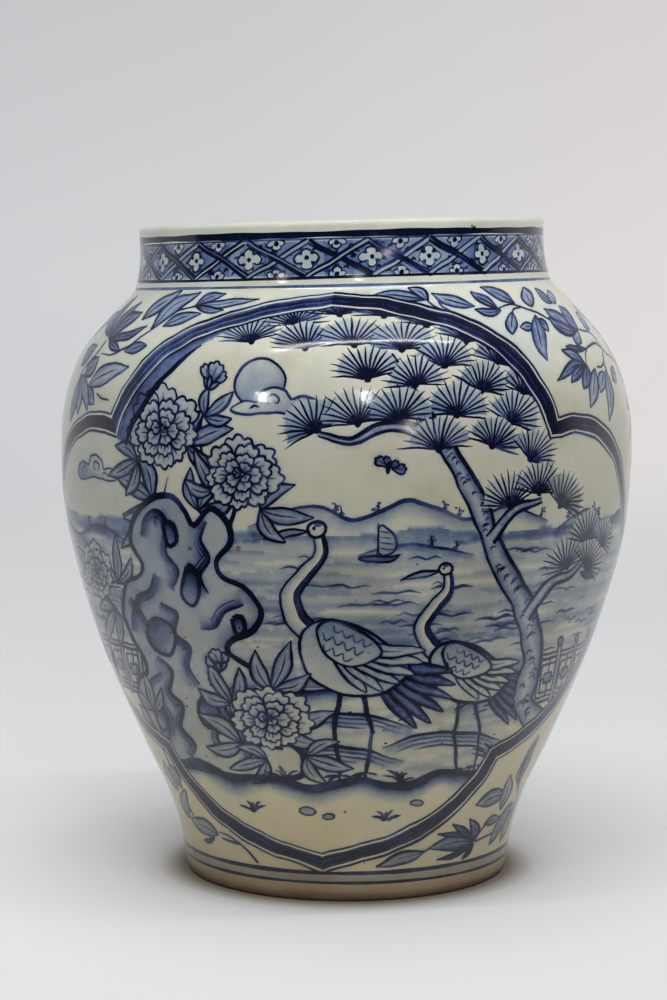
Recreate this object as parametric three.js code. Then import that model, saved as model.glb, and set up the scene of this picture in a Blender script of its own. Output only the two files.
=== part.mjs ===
// A baluster jar in glazed stoneware, thrown in sections and luted together with slip.
// Millimetres, +Z up. The origin is the centre of the foot, on the surface the jar stands on.
// The side that faces -Y is the painted front.

import * as THREE from 'three';

// Overall form
const jarHeight = 380;
const footHeight = 16;
const collarHeight = 36;
const bellyHeight = 244;
const bellyRadius = 167;
const footRadius = 97;
const collarRootRadius = 121;
const collarWaistRadius = 117.6;

// Walls
const wallThickness = 8;
const collarThickness = 7;
const lipRounding = 3.2;

// Foot and base
const footTaper = 2;
const footEdgeRounding = 3;
const footRingWidth = 17;
const footLedgeWidth = 6;
const baseThickness = 10;
const baseClearance = 0.3;
const baseHollowDepth = 1.2;
const baseHollowShare = 0.62;

// Luting: where the thrown sections meet, and the slip that joins them
const bellySeamHeight = 205;
const slipThickness = 1.2;
const footSlipThickness = 0.8;
const filletThickness = 3;
const filletHeight = 22;
const collarFilletHeight = 14;
const coilHeight = 14;
const coilWidth = 18;
const lutingGap = 0.3;

// The collar sits a little off the body's axis and leans to the left, as thrown ware does
const collarShift = 2.2;
const collarLeanDegrees = 1.5;
const leanStartHeight = 296;

// How many facets and rows the turned surfaces have
const turnSegments = 68;
const sectionRows = 11;
const collarRows = 5;
const roundingSteps = 4;

// Places worked out from the sizes above
const collarRootHeight = jarHeight - collarHeight;
const footLedgeHeight = footHeight - baseThickness;
const footRingInnerRadius = footRadius - footRingWidth;
const ledgeRadius = footRingInnerRadius + footLedgeWidth;
const baseRadius = ledgeRadius - baseClearance;

// Wall outline: each pair is a share of the height and a share of the radius gained or lost there.
// From the top of the foot out to the belly, then from the belly in to the collar's root.
const lowerWallShares = [
  [0, 0], [0.048, 0.029], [0.149, 0.14], [0.237, 0.276], [0.368, 0.467], [0.5, 0.643],
  [0.632, 0.791], [0.763, 0.91], [0.895, 0.983], [1, 1],
];
const shoulderShares = [
  [0, 0], [0.16, 0.008], [0.31, 0.045], [0.51, 0.165], [0.68, 0.36], [0.82, 0.62], [0.92, 0.825], [1, 1],
];

// The collar's outer face: share of its height, and share of the way from root radius to waist radius
const collarShares = [[0, 0], [0.12, 0.28], [0.3, 0.68], [0.5, 0.96], [0.7, 1], [1, 0.9]];

// A smooth curve through the stations, read at x: cubic pieces with slopes from the neighbours
function smoothThrough(stations, x) {
  const last = stations.length - 1;
  let i = 0;
  while (i < last - 1 && x > stations[i + 1][0]) i += 1;
  const slopeAt = (k) => {
    const a = stations[Math.max(k - 1, 0)];
    const b = stations[Math.min(k + 1, last)];
    return (b[1] - a[1]) / (b[0] - a[0]);
  };
  const [x0, y0] = stations[i];
  const [x1, y1] = stations[i + 1];
  const span = x1 - x0;
  const t = (x - x0) / span;
  const t2 = t * t;
  const t3 = t2 * t;
  return y0 * (2 * t3 - 3 * t2 + 1) + y1 * (3 * t2 - 2 * t3)
    + slopeAt(i) * span * (t3 - 2 * t2 + t) + slopeAt(i + 1) * span * (t3 - t2);
}

function outerRadius(z) {
  if (z <= bellyHeight) {
    const share = (z - footHeight) / (bellyHeight - footHeight);
    return footRadius + (bellyRadius - footRadius) * smoothThrough(lowerWallShares, share);
  }
  const share = (z - bellyHeight) / (collarRootHeight - bellyHeight);
  return bellyRadius - (bellyRadius - collarRootRadius) * smoothThrough(shoulderShares, share);
}

// The wall is as thick square to its surface everywhere, so its level width grows with the slope
function innerRadius(z) {
  const step = slipThickness;
  const low = Math.max(z - step, footHeight);
  const high = Math.min(z + step, collarRootHeight);
  const slope = (outerRadius(high) - outerRadius(low)) / (high - low);
  return outerRadius(z) - wallThickness * Math.hypot(1, slope);
}

function collarOuterRadius(z) {
  const share = (z - collarRootHeight) / collarHeight;
  return collarRootRadius - (collarRootRadius - collarWaistRadius) * smoothThrough(collarShares, share);
}

const collarInnerRadius = collarWaistRadius - collarThickness;

// Levels from low to high, both ends included
function levels(low, high, rows) {
  return Array.from({ length: rows + 1 }, (_, i) => low + (high - low) * i / rows);
}

const point = (radius, z) => new THREE.Vector2(radius, z);

// A turned solid from the outline of its section, listed anticlockwise, seen with the axis on the left
function turned(outline, closed = true) {
  const profile = closed ? [...outline, outline[0].clone()] : outline;
  const geometry = new THREE.LatheGeometry(profile, turnSegments);
  geometry.rotateX(Math.PI / 2);
  return geometry;
}

// A quarter round corner of the given radius about a centre, from one angle to the next
function rounded(centreRadius, centreZ, radius, startAngle, endAngle) {
  return levels(startAngle, endAngle, roundingSteps)
    .map((angle) => point(centreRadius + radius * Math.cos(angle), centreZ + radius * Math.sin(angle)));
}

// Carries the collar's offset and lean, fading in over the shoulder
function leanWithCollar(geometry) {
  const position = geometry.attributes.position;
  const lean = Math.tan(THREE.MathUtils.degToRad(collarLeanDegrees));
  const leanEndHeight = collarRootHeight - slipThickness - filletThickness;
  for (let i = 0; i < position.count; i += 1) {
    const x = position.getX(i);
    const z = position.getZ(i);
    const share = THREE.MathUtils.smoothstep(z, leanStartHeight, leanEndHeight);
    const above = Math.max(z - collarRootHeight, 0);
    position.setX(i, x - share * (collarShift + above * lean));
    position.setZ(i, z + share * x * lean);
  }
  return geometry;
}

function footRing() {
  const bottomRadius = footRadius - footTaper;
  const cornerCentre = bottomRadius - footEdgeRounding;
  const corner = rounded(cornerCentre, footEdgeRounding, footEdgeRounding, -Math.PI / 2, 0);
  return turned([
    point(footRingInnerRadius, footEdgeRounding / 2),
    point(footRingInnerRadius + footEdgeRounding / 2, 0),
    ...corner,
    point(footRadius, footHeight),
    point(ledgeRadius, footHeight),
    point(ledgeRadius, footLedgeHeight),
    point(footRingInnerRadius, footLedgeHeight),
  ]);
}

// The floor slab drops into the foot ring's rebate, flush with its top, and is a little hollow underneath
function baseDisc() {
  return turned([
    point(0, footLedgeHeight + baseHollowDepth),
    point(baseRadius * baseHollowShare, footLedgeHeight + baseHollowDepth),
    point(footRingInnerRadius, footLedgeHeight),
    point(baseRadius, footLedgeHeight),
    point(baseRadius, footHeight),
    point(0, footHeight),
  ], false);
}

// Slip between the foot ring and the wall that stands on it
function footSlip() {
  const top = footHeight + footSlipThickness;
  return turned([
    point(innerRadius(top), footHeight),
    point(footRadius, footHeight),
    point(outerRadius(top), top),
    point(innerRadius(top), top),
  ]);
}

// The coil of clay pressed into the corner where the wall meets the floor, thumbed hollow
function floorCoil() {
  const top = footHeight + coilHeight;
  const wallSide = levels(footHeight, top, roundingSteps).map((z) => point(innerRadius(z) - lutingGap, z));
  const inner = innerRadius(footHeight) - coilWidth;
  const hollow = levels(0, Math.PI / 2, roundingSteps).slice(1, -1).map((angle) => {
    const z = top - coilHeight * Math.cos(angle);
    return point(inner + (innerRadius(z) - lutingGap - inner) * Math.sin(angle), z);
  });
  return turned([point(inner, footHeight), ...wallSide, ...hollow.reverse()]);
}

// A thrown section of the wall between two levels
function wallSection(low, high) {
  const heights = levels(low, high, sectionRows);
  const outside = heights.map((z) => point(outerRadius(z), z));
  const inside = heights.map((z) => point(innerRadius(z), z)).reverse();
  return turned([...outside, ...inside]);
}

// Slip in a seam with the fillet smeared over it inside: a T on its side
function slipSeam(low, high, outside, insideAt, height) {
  const middle = (low + high) / 2;
  const below = middle - height / 2;
  const above = middle + height / 2;
  const headAt = (z) => insideAt(z) - lutingGap;
  return turned([
    point(headAt(below), below),
    point(headAt(low), low),
    point(outside(low), low),
    point(outside(high), high),
    point(headAt(high), high),
    point(headAt(above), above),
    point(headAt(above) - filletThickness / 2, above),
    point(headAt(middle) - filletThickness, middle),
    point(headAt(below) - filletThickness / 2, below),
  ]);
}

const seamLow = bellySeamHeight - slipThickness / 2;
const seamHigh = bellySeamHeight + slipThickness / 2;
const collarSeamLow = collarRootHeight - slipThickness;

function bellySeam() {
  return slipSeam(seamLow, seamHigh, outerRadius, innerRadius, filletHeight);
}

// Its fillet follows the shoulder's inside below the seam and the collar's upright inside above it.
// The shoulder slopes there, so the gap to it is doubled to stay the same square to its face.
function collarSeam() {
  const insideAt = (z) => (z < collarRootHeight - lutingGap ? innerRadius(z) - lutingGap : collarInnerRadius);
  const rootOutside = () => collarRootRadius;
  const low = collarSeamLow + lutingGap;
  const high = collarRootHeight - lutingGap;
  return slipSeam(low, high, rootOutside, insideAt, collarFilletHeight);
}

// The collar, concave outside, with a lip rounded over at the mouth
function neckCollar() {
  const outside = levels(collarRootHeight, jarHeight - lipRounding, collarRows)
    .map((z) => point(collarOuterRadius(z), z));
  const lipCentre = jarHeight - lipRounding;
  const lipRadius = collarOuterRadius(lipCentre) - lipRounding;
  const outerCorner = rounded(lipRadius, lipCentre, lipRounding, 0, Math.PI / 2).slice(1);
  const innerCorner = rounded(collarInnerRadius + lipRounding, lipCentre, lipRounding, Math.PI / 2, Math.PI);
  return turned([...outside, ...outerCorner, ...innerCorner, point(collarInnerRadius, collarRootHeight)]);
}

const glaze = { color: 0xd9d6c4, roughness: 0.15, metalness: 0 };
const biscuit = { color: 0x9a7552, roughness: 0.8, metalness: 0 };
const slip = { color: 0xc9bb9a, roughness: 0.7, metalness: 0 };

function piece(name, geometry, finish) {
  const mesh = new THREE.Mesh(geometry, new THREE.MeshStandardMaterial(finish));
  mesh.name = name;
  return mesh;
}

const jar = new THREE.Group();
jar.add(
  piece('foot_ring', footRing(), biscuit),
  piece('base_disc', baseDisc(), biscuit),
  piece('foot_slip', footSlip(), slip),
  piece('floor_coil', floorCoil(), slip),
  piece('lower_body', wallSection(footHeight + footSlipThickness, seamLow), glaze),
  piece('belly_seam', bellySeam(), slip),
  piece('upper_body', leanWithCollar(wallSection(seamHigh, collarSeamLow)), glaze),
  piece('collar_seam', leanWithCollar(collarSeam()), slip),
  piece('neck_collar', leanWithCollar(neckCollar()), glaze),
);

export default jar;
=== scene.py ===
"""Looks of a baluster jar: glazed ware with blue brushwork under the glaze, on a pale stage."""

import math
import random

import bpy
import numpy as np
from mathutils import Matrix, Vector
from mathutils.geometry import delaunay_2d_cdt


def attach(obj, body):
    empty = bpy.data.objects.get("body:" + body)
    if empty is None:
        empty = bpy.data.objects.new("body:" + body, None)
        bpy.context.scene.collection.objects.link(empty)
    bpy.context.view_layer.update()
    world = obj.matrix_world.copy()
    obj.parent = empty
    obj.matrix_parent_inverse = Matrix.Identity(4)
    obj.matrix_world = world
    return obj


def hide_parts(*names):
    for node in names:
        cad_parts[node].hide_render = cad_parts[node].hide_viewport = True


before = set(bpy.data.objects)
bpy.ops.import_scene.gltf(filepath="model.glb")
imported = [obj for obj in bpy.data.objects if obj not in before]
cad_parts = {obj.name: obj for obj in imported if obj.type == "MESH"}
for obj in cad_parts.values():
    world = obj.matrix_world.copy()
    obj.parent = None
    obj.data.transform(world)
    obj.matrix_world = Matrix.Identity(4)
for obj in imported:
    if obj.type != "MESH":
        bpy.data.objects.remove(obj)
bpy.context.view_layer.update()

# The form is worked out in millimetres, as the construction is, and turned into metres at the end
MM = 0.001
TURN = 2 * math.pi

# Sizes that the construction gives the jar
JAR_HEIGHT = 380.0
FOOT_HEIGHT = 16.0
COLLAR_HEIGHT = 36.0
BELLY_HEIGHT = 244.0
BELLY_RADIUS = 167.0
FOOT_RADIUS = 97.0
COLLAR_ROOT_RADIUS = 121.0
COLLAR_WAIST_RADIUS = 117.6
WALL = 8.0
COLLAR_WALL = 7.0
LIP_ROUNDING = 3.2
FOOT_TAPER = 2.0
FOOT_EDGE = 3.0
FOOT_RING_WIDTH = 17.0
BASE_THICKNESS = 10.0
LEDGE_WIDTH = 6.0
SEAM_HEIGHT = 205.0
COLLAR_SHIFT = 2.2
COLLAR_LEAN = math.tan(math.radians(1.5))
LEAN_START = 296.0
LEAN_END = 339.8

COLLAR_ROOT = JAR_HEIGHT - COLLAR_HEIGHT
COLLAR_INNER_RADIUS = COLLAR_WAIST_RADIUS - COLLAR_WALL
FOOT_INNER_RADIUS = FOOT_RADIUS - FOOT_RING_WIDTH
LEDGE_RADIUS = FOOT_INNER_RADIUS + LEDGE_WIDTH
LEDGE_HEIGHT = FOOT_HEIGHT - BASE_THICKNESS

# The wall's outline: shares of the height and of the radius gained or lost there
LOWER_WALL_SHARES = [
    (0, 0), (0.048, 0.029), (0.149, 0.14), (0.237, 0.276), (0.368, 0.467), (0.5, 0.643),
    (0.632, 0.791), (0.763, 0.91), (0.895, 0.983), (1, 1),
]
SHOULDER_SHARES = [
    (0, 0), (0.16, 0.008), (0.31, 0.045), (0.51, 0.165), (0.68, 0.36), (0.82, 0.62), (0.92, 0.825), (1, 1),
]
COLLAR_SHARES = [(0, 0), (0.12, 0.28), (0.3, 0.68), (0.5, 0.96), (0.7, 1), (1, 0.9)]


# The camera stands where the photograph was taken
SENSOR_WIDTH = 36.0
FOCAL_LENGTH = 89.1
CAMERA_PLACE = (-0.0076, -1.455, 0.3539)
CAMERA_TILT_DOWN = 5.355
CAMERA_SIGHT = 20.0


def make_camera():
    camera_data = bpy.data.cameras.new("camera")
    camera_data.sensor_width = SENSOR_WIDTH
    camera_data.lens = FOCAL_LENGTH
    camera_data.clip_end = CAMERA_SIGHT
    camera = bpy.data.objects.new("camera", camera_data)
    camera.location = CAMERA_PLACE
    camera.rotation_euler = (math.radians(90 - CAMERA_TILT_DOWN), 0, 0)
    bpy.context.collection.objects.link(camera)
    bpy.context.scene.camera = camera


make_camera()


# The outline of the outside

def smooth_through(stations, x):
    """A smooth curve through the stations, read at x, with slopes taken from the neighbours."""
    xs, ys = np.array(stations, float).T
    slopes = np.empty(len(xs))
    slopes[1:-1] = (ys[2:] - ys[:-2]) / (xs[2:] - xs[:-2])
    slopes[0] = (ys[1] - ys[0]) / (xs[1] - xs[0])
    slopes[-1] = (ys[-1] - ys[-2]) / (xs[-1] - xs[-2])
    i = np.clip(np.searchsorted(xs, x, side="left") - 1, 0, len(xs) - 2)
    span = xs[i + 1] - xs[i]
    t = (x - xs[i]) / span
    return (ys[i] * (2 * t**3 - 3 * t**2 + 1) + ys[i + 1] * (3 * t**2 - 2 * t**3)
            + slopes[i] * span * (t**3 - 2 * t**2 + t) + slopes[i + 1] * span * (t**3 - t**2))


def wall_radius(z):
    """The body's outer radius at a height between the foot and the collar's root."""
    z = np.asarray(z, float)
    lower = FOOT_RADIUS + (BELLY_RADIUS - FOOT_RADIUS) * smooth_through(
        LOWER_WALL_SHARES, (z - FOOT_HEIGHT) / (BELLY_HEIGHT - FOOT_HEIGHT))
    upper = BELLY_RADIUS - (BELLY_RADIUS - COLLAR_ROOT_RADIUS) * smooth_through(
        SHOULDER_SHARES, (z - BELLY_HEIGHT) / (COLLAR_ROOT - BELLY_HEIGHT))
    return np.where(z <= BELLY_HEIGHT, lower, upper)


def inner_wall_radius(z):
    """The body's inner radius: the wall is as thick square to its surface everywhere."""
    z = np.asarray(z, float)
    low = np.maximum(z - 1.0, FOOT_HEIGHT)
    high = np.minimum(z + 1.0, COLLAR_ROOT)
    slope = (wall_radius(high) - wall_radius(low)) / (high - low)
    return wall_radius(z) - WALL * np.hypot(1, slope)


def collar_radius(z):
    share = (np.asarray(z, float) - COLLAR_ROOT) / COLLAR_HEIGHT
    waist = COLLAR_ROOT_RADIUS - COLLAR_WAIST_RADIUS
    return COLLAR_ROOT_RADIUS - waist * smooth_through(COLLAR_SHARES, share)


def arc(centre_radius, centre_height, radius, start, end, steps):
    """Points of a quarter round, as radius and height, from one angle in degrees to another."""
    angles = np.radians(np.linspace(start, end, steps))
    return np.column_stack([centre_radius + radius * np.cos(angles),
                            centre_height + radius * np.sin(angles)])


def lengths(line):
    """How far each point of a line is from its start, along it."""
    return np.concatenate([[0], np.cumsum(np.hypot(*np.diff(line, axis=0).T))])


def at_lengths(line, length, wanted):
    """Points of a line at the lengths wanted."""
    return np.column_stack([np.interp(wanted, length, line[:, k]) for k in (0, 1)])


def outside_line():
    """The outside from the foot's edge on the table up to the top of the lip, evenly spaced."""
    foot_edge = arc(FOOT_RADIUS - FOOT_TAPER - FOOT_EDGE, FOOT_EDGE, FOOT_EDGE, -90, 0, 12)
    heights = np.arange(FOOT_HEIGHT, COLLAR_ROOT, 0.5)
    wall = np.column_stack([wall_radius(heights), heights])
    lip_centre = JAR_HEIGHT - LIP_ROUNDING
    heights = np.arange(COLLAR_ROOT, lip_centre, 0.5)
    collar = np.column_stack([collar_radius(heights), heights])
    lip = arc(collar_radius(lip_centre) - LIP_ROUNDING, lip_centre, LIP_ROUNDING, 0, 90, 16)
    line = np.vstack([foot_edge, wall, collar, lip])
    length = lengths(line)
    even = np.append(np.arange(0, length[-1], LINE_STEP), length[-1])
    return even, soften(at_lengths(line, length, even), even)


# Glaze gathers in the corner at the collar's root, which rounds it over this length to each side
CORNER_ROUNDING = 3.4
LINE_STEP = 0.25


def soften(line, length):
    """The line with the inner corner at the collar's root rounded as pooled glaze rounds it."""
    corner = np.argmin(np.abs(line[:, 1] - COLLAR_ROOT))
    reach = int(3 * CORNER_ROUNDING / LINE_STEP)
    kernel = np.exp(-0.5 * (np.arange(-reach, reach + 1) * LINE_STEP / (CORNER_ROUNDING / 1.8)) ** 2)
    kernel /= kernel.sum()
    soft = line.copy()
    for k in (0, 1):
        soft[:, k] = np.convolve(np.pad(line[:, k], reach, mode="edge"), kernel, mode="valid")
    weight = np.exp(-0.5 * ((length - length[corner]) / CORNER_ROUNDING) ** 2)[:, None]
    return line * (1 - weight) + soft * weight


LINE_LENGTH, LINE = outside_line()
LINE_V = LINE_LENGTH - np.interp(FOOT_HEIGHT, LINE[:, 1], LINE_LENGTH)
V_FOOT_EDGE = LINE_V[0]
V_LIP = LINE_V[-1]


def radius_at(v):
    return np.interp(v, LINE_V, LINE[:, 0])


def height_at(v):
    return np.interp(v, LINE_V, LINE[:, 1])


def v_at(height):
    return float(np.interp(height, LINE[:, 1], LINE_V))


V_FOOT = 0.0
V_SEAM = v_at(SEAM_HEIGHT)
V_ROOT = v_at(COLLAR_ROOT)


# From the turned form to the hand-made one: the collar leans, and the wall is a little uneven

def lean(points):
    """Carries the collar's offset and lean, which fade in over the shoulder."""
    x, y, z = points.T
    share = np.clip((z - LEAN_START) / (LEAN_END - LEAN_START), 0, 1)
    share = share * share * (3 - 2 * share)
    above = np.maximum(z - COLLAR_ROOT, 0)
    shift = COLLAR_SHIFT + above * COLLAR_LEAN
    return np.column_stack([x - share * shift, y, z + share * x * COLLAR_LEAN])


# Unevenness of the outside: each swell's height in mm, turns round the jar, length up it and start
SWELLS = [(0.22, 2, 170.0, 0.4), (0.14, 3, 96.0, 2.1), (0.08, 5, 61.0, 4.0), (0.04, 9, 33.0, 1.2)]
THROWING_RING_HEIGHT = 0.022
THROWING_RING_PITCH = 7.3
SEAM_SWELL = 0.16
SEAM_SWELL_REACH = 7.0
# The wall is even this near to the foot and to the root, and then grows uneven over these lengths
EVEN_AT_FOOT = 4.0
EVEN_AT_ROOT = 3.0
GROWTH_FROM_FOOT = 20.0
GROWTH_FROM_ROOT = 18.0
NORMAL_STEP = 0.35


def unevenness(turn, v):
    """How far the outside stands out from the turned form, in mm, at an angle and a place on the line."""
    rise = np.zeros_like(turn)
    for height, turns, length, start in SWELLS:
        across = np.sin(turns * turn + start + 0.7 * np.sin(v / length))
        rise += height * across * np.sin(v * TURN / length + start)
    rise += THROWING_RING_HEIGHT * np.sin(v * TURN / THROWING_RING_PITCH + turn)
    rise += SEAM_SWELL * np.exp(-((v - V_SEAM) / SEAM_SWELL_REACH) ** 2)
    above = np.clip((v - EVEN_AT_FOOT) / GROWTH_FROM_FOOT, 0, 1)
    below = np.clip((V_ROOT - EVEN_AT_ROOT - v) / GROWTH_FROM_ROOT, 0, 1)
    return rise * (above * below)


def outside_points(turn, v):
    """Points of the outside, in mm. The turn is 0 at the front, -Y, and grows towards +X."""
    radius = radius_at(v) + unevenness(turn, v)
    return lean(np.column_stack([radius * np.sin(turn), -radius * np.cos(turn), height_at(v)]))


def outside_normals(turn, v):
    turn_step = NORMAL_STEP / SHEET_RADIUS
    along = outside_points(turn + turn_step, v) - outside_points(turn - turn_step, v)
    low, high = np.maximum(v - NORMAL_STEP, V_FOOT_EDGE), np.minimum(v + NORMAL_STEP, V_LIP)
    normal = np.cross(along, outside_points(turn, high) - outside_points(turn, low))
    return normal / np.linalg.norm(normal, axis=1)[:, None]


# The painted sheet: the outside unrolled, u round the jar at a fixed radius and v up its line, in mm

SHEET_RADIUS = 160.0
SHEET_WIDTH = TURN * SHEET_RADIUS
FRONT_TURN = math.radians(-5)
CUT_TURN = FRONT_TURN - math.pi / 2
U_CUT = CUT_TURN * SHEET_RADIUS
SNAP = 0.01

LINE_MARK, WASH_MARK, RESERVE_MARK, AREA_MARK, STAIN_MARK = range(5)


class Painting:
    """Brush marks on the sheet, each a polygon with its strength of colour, in the order they are laid."""

    def __init__(self):
        self.points = []
        self.numbers = {}
        self.faces = []
        self.kinds = []
        self.slopes = []
        self.limits = []
        self.areas = []
        self.area = 0

    def number(self, u, v):
        key = (round(u / SNAP), round(v / SNAP))
        found = self.numbers.get(key)
        if found is None:
            found = self.numbers[key] = len(self.points)
            self.points.append((key[0] * SNAP, key[1] * SNAP))
        return found

    def add(self, sheet_points, kind, slope, limit):
        """Lays one mark, and once more a whole turn away where it crosses the cut."""
        shifts = [0.0]
        low = min(p[0] for p in sheet_points)
        high = max(p[0] for p in sheet_points)
        if low < U_CUT:
            shifts.append(SHEET_WIDTH)
        if high > U_CUT + SHEET_WIDTH:
            shifts.append(-SHEET_WIDTH)
        for shift in shifts:
            corners = []
            for u, v in sheet_points:
                corner = self.number(u + shift, v)
                if corner not in corners:
                    corners.append(corner)
            parts = [corners]
            halves = [corners[:3], [corners[0], *corners[2:]]]
            if len(corners) == 4 and self.turn_of(halves[0]) * self.turn_of(halves[1]) <= 0:
                parts = halves
            for part in parts:
                turn = self.turn_of(part) if len(part) > 2 else 0
                if abs(turn) < 2 * SNAP * SNAP:
                    continue
                self.faces.append(part if turn > 0 else part[::-1])
                self.kinds.append(kind)
                self.slopes.append((slope[0], slope[1], slope[2] - slope[0] * shift))
                self.limits.append(limit)
                self.areas.append(self.area)

    def turn_of(self, corners):
        """Twice the area inside the corners: above zero where they go anticlockwise."""
        points = [self.points[n] for n in corners]
        return sum(a[0] * b[1] - b[0] * a[1] for a, b in zip(points, points[1:] + points[:1]))


painting = Painting()
draw_random = random.Random(7)
between = draw_random.uniform


TREMBLE = 0.30


def tremble(points):
    """How far a steady hand still strays, in mm."""
    x, v = np.asarray(points, float).T
    return TREMBLE * np.column_stack([
        np.sin(v / 2.9 + 0.8 * np.sin(x / 7.1)) + 0.9 * np.sin(x / 6.3 + v / 11.0)
        + 0.3 * np.sin(v / 1.1 + x / 1.7),
        np.sin(x / 3.3 + 0.9 * np.sin(v / 8.3)) + 0.9 * np.sin(v / 5.7 - x / 13.0)
        + 0.3 * np.sin(x / 1.2 - v / 1.9)])


class Field:
    """A place to paint in: x in mm to the right of a line up the jar, v in mm up it."""

    def __init__(self, turn_degrees, slant=0.0, mirror=False):
        self.turn = math.radians(turn_degrees)
        self.slant = slant
        self.side = -1 if mirror else 1

    def sheet(self, points):
        points = np.asarray(points, float) + tremble(points)
        x, v = points[:, 0] * self.side, points[:, 1]
        centre = self.turn + self.slant * (v - V_SEAM) / SHEET_RADIUS
        return np.column_stack([(centre + x / radius_at(v)) * SHEET_RADIUS, v])


field = Field(0)


def use_field(new_field):
    """Marks that follow go in this field, inside no area."""
    global field
    field = new_field
    painting.area = 0


def flow(points, step, closed=False):
    """A smooth line through given points, as a brush goes through them."""
    points = np.asarray(points, float)
    if closed:
        points = np.vstack([points[-1:], points, points[:2]])
    else:
        points = np.vstack([2 * points[:1] - points[1:2], points, 2 * points[-1:] - points[-2:-1]])
    out = []
    for a, b, c, d in zip(points, points[1:], points[2:], points[3:]):
        count = max(1, int(math.ceil(np.hypot(*(c - b)) / step)))
        t = (np.arange(count) / count)[:, None]
        out.append(0.5 * (2 * b + (c - a) * t + (2 * a - 5 * b + 4 * c - d) * t**2
                          + (3 * b - a - 3 * c + d) * t**3))
    if not closed:
        out.append(points[-2:-1])
    return np.vstack(out)


def breath(count, amount, length=9):
    """Slow uneven values about 1, one for each step of a stroke: the hand's pressure."""
    knots = [1 + amount * between(-1, 1) for _ in range(count // length + 3)]
    places = np.arange(count) / length
    return np.interp(places, range(len(knots)), knots)


def sides(path):
    """Unit vectors square to a path, to its left."""
    ahead = np.gradient(path, axis=0)
    ahead /= np.maximum(np.hypot(*ahead.T), 1e-9)[:, None]
    return np.column_stack([-ahead[:, 1], ahead[:, 0]])


def ribbon(left, right, ink_a, ink_b=None, kind=LINE_MARK, across=False):
    """Quads between two lines. The ink runs along them, or across from left to right."""
    a, b = field.sheet(left), field.sheet(right)
    count = len(a)
    ink_a = np.broadcast_to(np.asarray(ink_a, float), (count,))
    ink_b = ink_a if ink_b is None else np.broadcast_to(np.asarray(ink_b, float), (count,))
    for i in range(count - 1):
        corners = [a[i], a[i + 1], b[i + 1], b[i]]
        if across:
            start, end = (a[i] + a[i + 1]) / 2, (b[i] + b[i + 1]) / 2
            low, high = (ink_a[i] + ink_a[i + 1]) / 2, (ink_b[i] + ink_b[i + 1]) / 2
        else:
            start, end = (a[i] + b[i]) / 2, (a[i + 1] + b[i + 1]) / 2
            low, high = ink_a[i], ink_a[i + 1]
        way = end - start
        size = float(way @ way)
        slope = way * ((high - low) / size) if size > 1e-9 else way * 0
        level = low - float(slope @ start)
        painting.add(corners, kind, (slope[0], slope[1], level), (min(low, high), max(low, high)))


# A line's width beside the one asked for, its width at its tips and the share of its length they take,
# and how far its width and ink wander
LINE_BOLDNESS = 1.36
TIPS = (0.25, 0.1)
TIP_SHARES = (0.2, 0.25)
THINNEST_TIP = 0.06
LOOSE = 0.24
INK_WANDER = 0.22
# A line's ink: its least, what the ink asked for adds, and its most
INK_START = 0.2
INK_GAIN = 0.82
INK_MOST = 1.1
# The colour of a line runs a little into the wet glaze beside it
BLEED_REACH = 0.6
BLEED_INK = 0.12
bleeding = True


def brush(path, width, ink, tips=TIPS, closed=False, loose=LOOSE, bleed=True):
    """One brush line along a path: it swells and thins with the hand, and runs out at its tips."""
    count = len(path)
    taper = np.ones(count)
    if not closed:
        t = np.linspace(0, 1, count)
        start, end = tips
        rise = start + (1 - start) * t / TIP_SHARES[0]
        fall = end + (1 - end) * (1 - t) / TIP_SHARES[1]
        taper = np.clip(rise, 0, 1) * np.clip(fall, 0, 1)
    half = width * LINE_BOLDNESS / 2 * np.maximum(taper, THINNEST_TIP) * breath(count, loose)
    inks = np.clip((INK_START + INK_GAIN * ink) * breath(count, INK_WANDER, 6), 0, INK_MOST)
    if closed:
        half[-1], inks[-1] = half[0], inks[0]
    out = sides(path) * half[:, None]
    if bleeding and bleed:
        halo = sides(path) * (half + BLEED_REACH)[:, None]
        ribbon(path + halo, path - halo, inks * BLEED_INK, kind=WASH_MARK)
    ribbon(path + out, path - out, inks)


def stroke(points, width, ink, tips=TIPS, step=2.8, loose=LOOSE, bleed=True):
    brush(flow(points, step), width, ink, tips, False, loose, bleed)


def patch(points, ink, kind=WASH_MARK, towards=None, far=None, smooth=True, step=3.0):
    """A filled shape. With towards, its ink goes from ink at the first point given to far at the second."""
    outline = flow(points, step, closed=True) if smooth else np.asarray(points, float)
    slope, limit = (0.0, 0.0, ink), (ink, ink)
    if towards is not None:
        start, end = field.sheet(towards)
        way = end - start
        rate = way * ((far - ink) / float(way @ way))
        slope = (rate[0], rate[1], ink - float(rate @ start))
        limit = (min(ink, far), max(ink, far))
    painting.add([tuple(p) for p in field.sheet(outline)], kind, slope, limit)


def reserve(points, smooth=True, step=3.0, ink=0.0):
    """Keeps a shape free of what was painted before it, as a painter leaves room for what is in front."""
    patch(points, ink, kind=RESERVE_MARK, smooth=smooth, step=step)


def wash(left, right, ink_left, ink_right):
    """Thin colour between two lines, from one strength to another across it."""
    ribbon(left, right, ink_left, ink_right, kind=WASH_MARK, across=True)


def keep_free(left, right):
    """Keeps the room between two lines free."""
    reserve(np.vstack([left, right[::-1]]), smooth=False)


def skirt(points, depth, ink):
    """A wash that is full along a line and fades out to its right."""
    path = flow(points, 3.0)
    reach = depth * breath(len(path), 0.25, 4)
    wash(path, path - sides(path) * reach[:, None], ink * breath(len(path), 0.2, 4), 0.0)


def shape(points, ink, line, width, towards=None, far=None, smooth=True):
    """An outlined shape with a wash in it, in front of what was painted before."""
    reserve(points, smooth)
    patch(points, ink, towards=towards, far=far, smooth=smooth)
    outline = flow(points, 3.0, closed=True) if smooth else np.asarray(points, float)
    brush(np.vstack([outline, outline[:1]]), width, line, closed=True)


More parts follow.
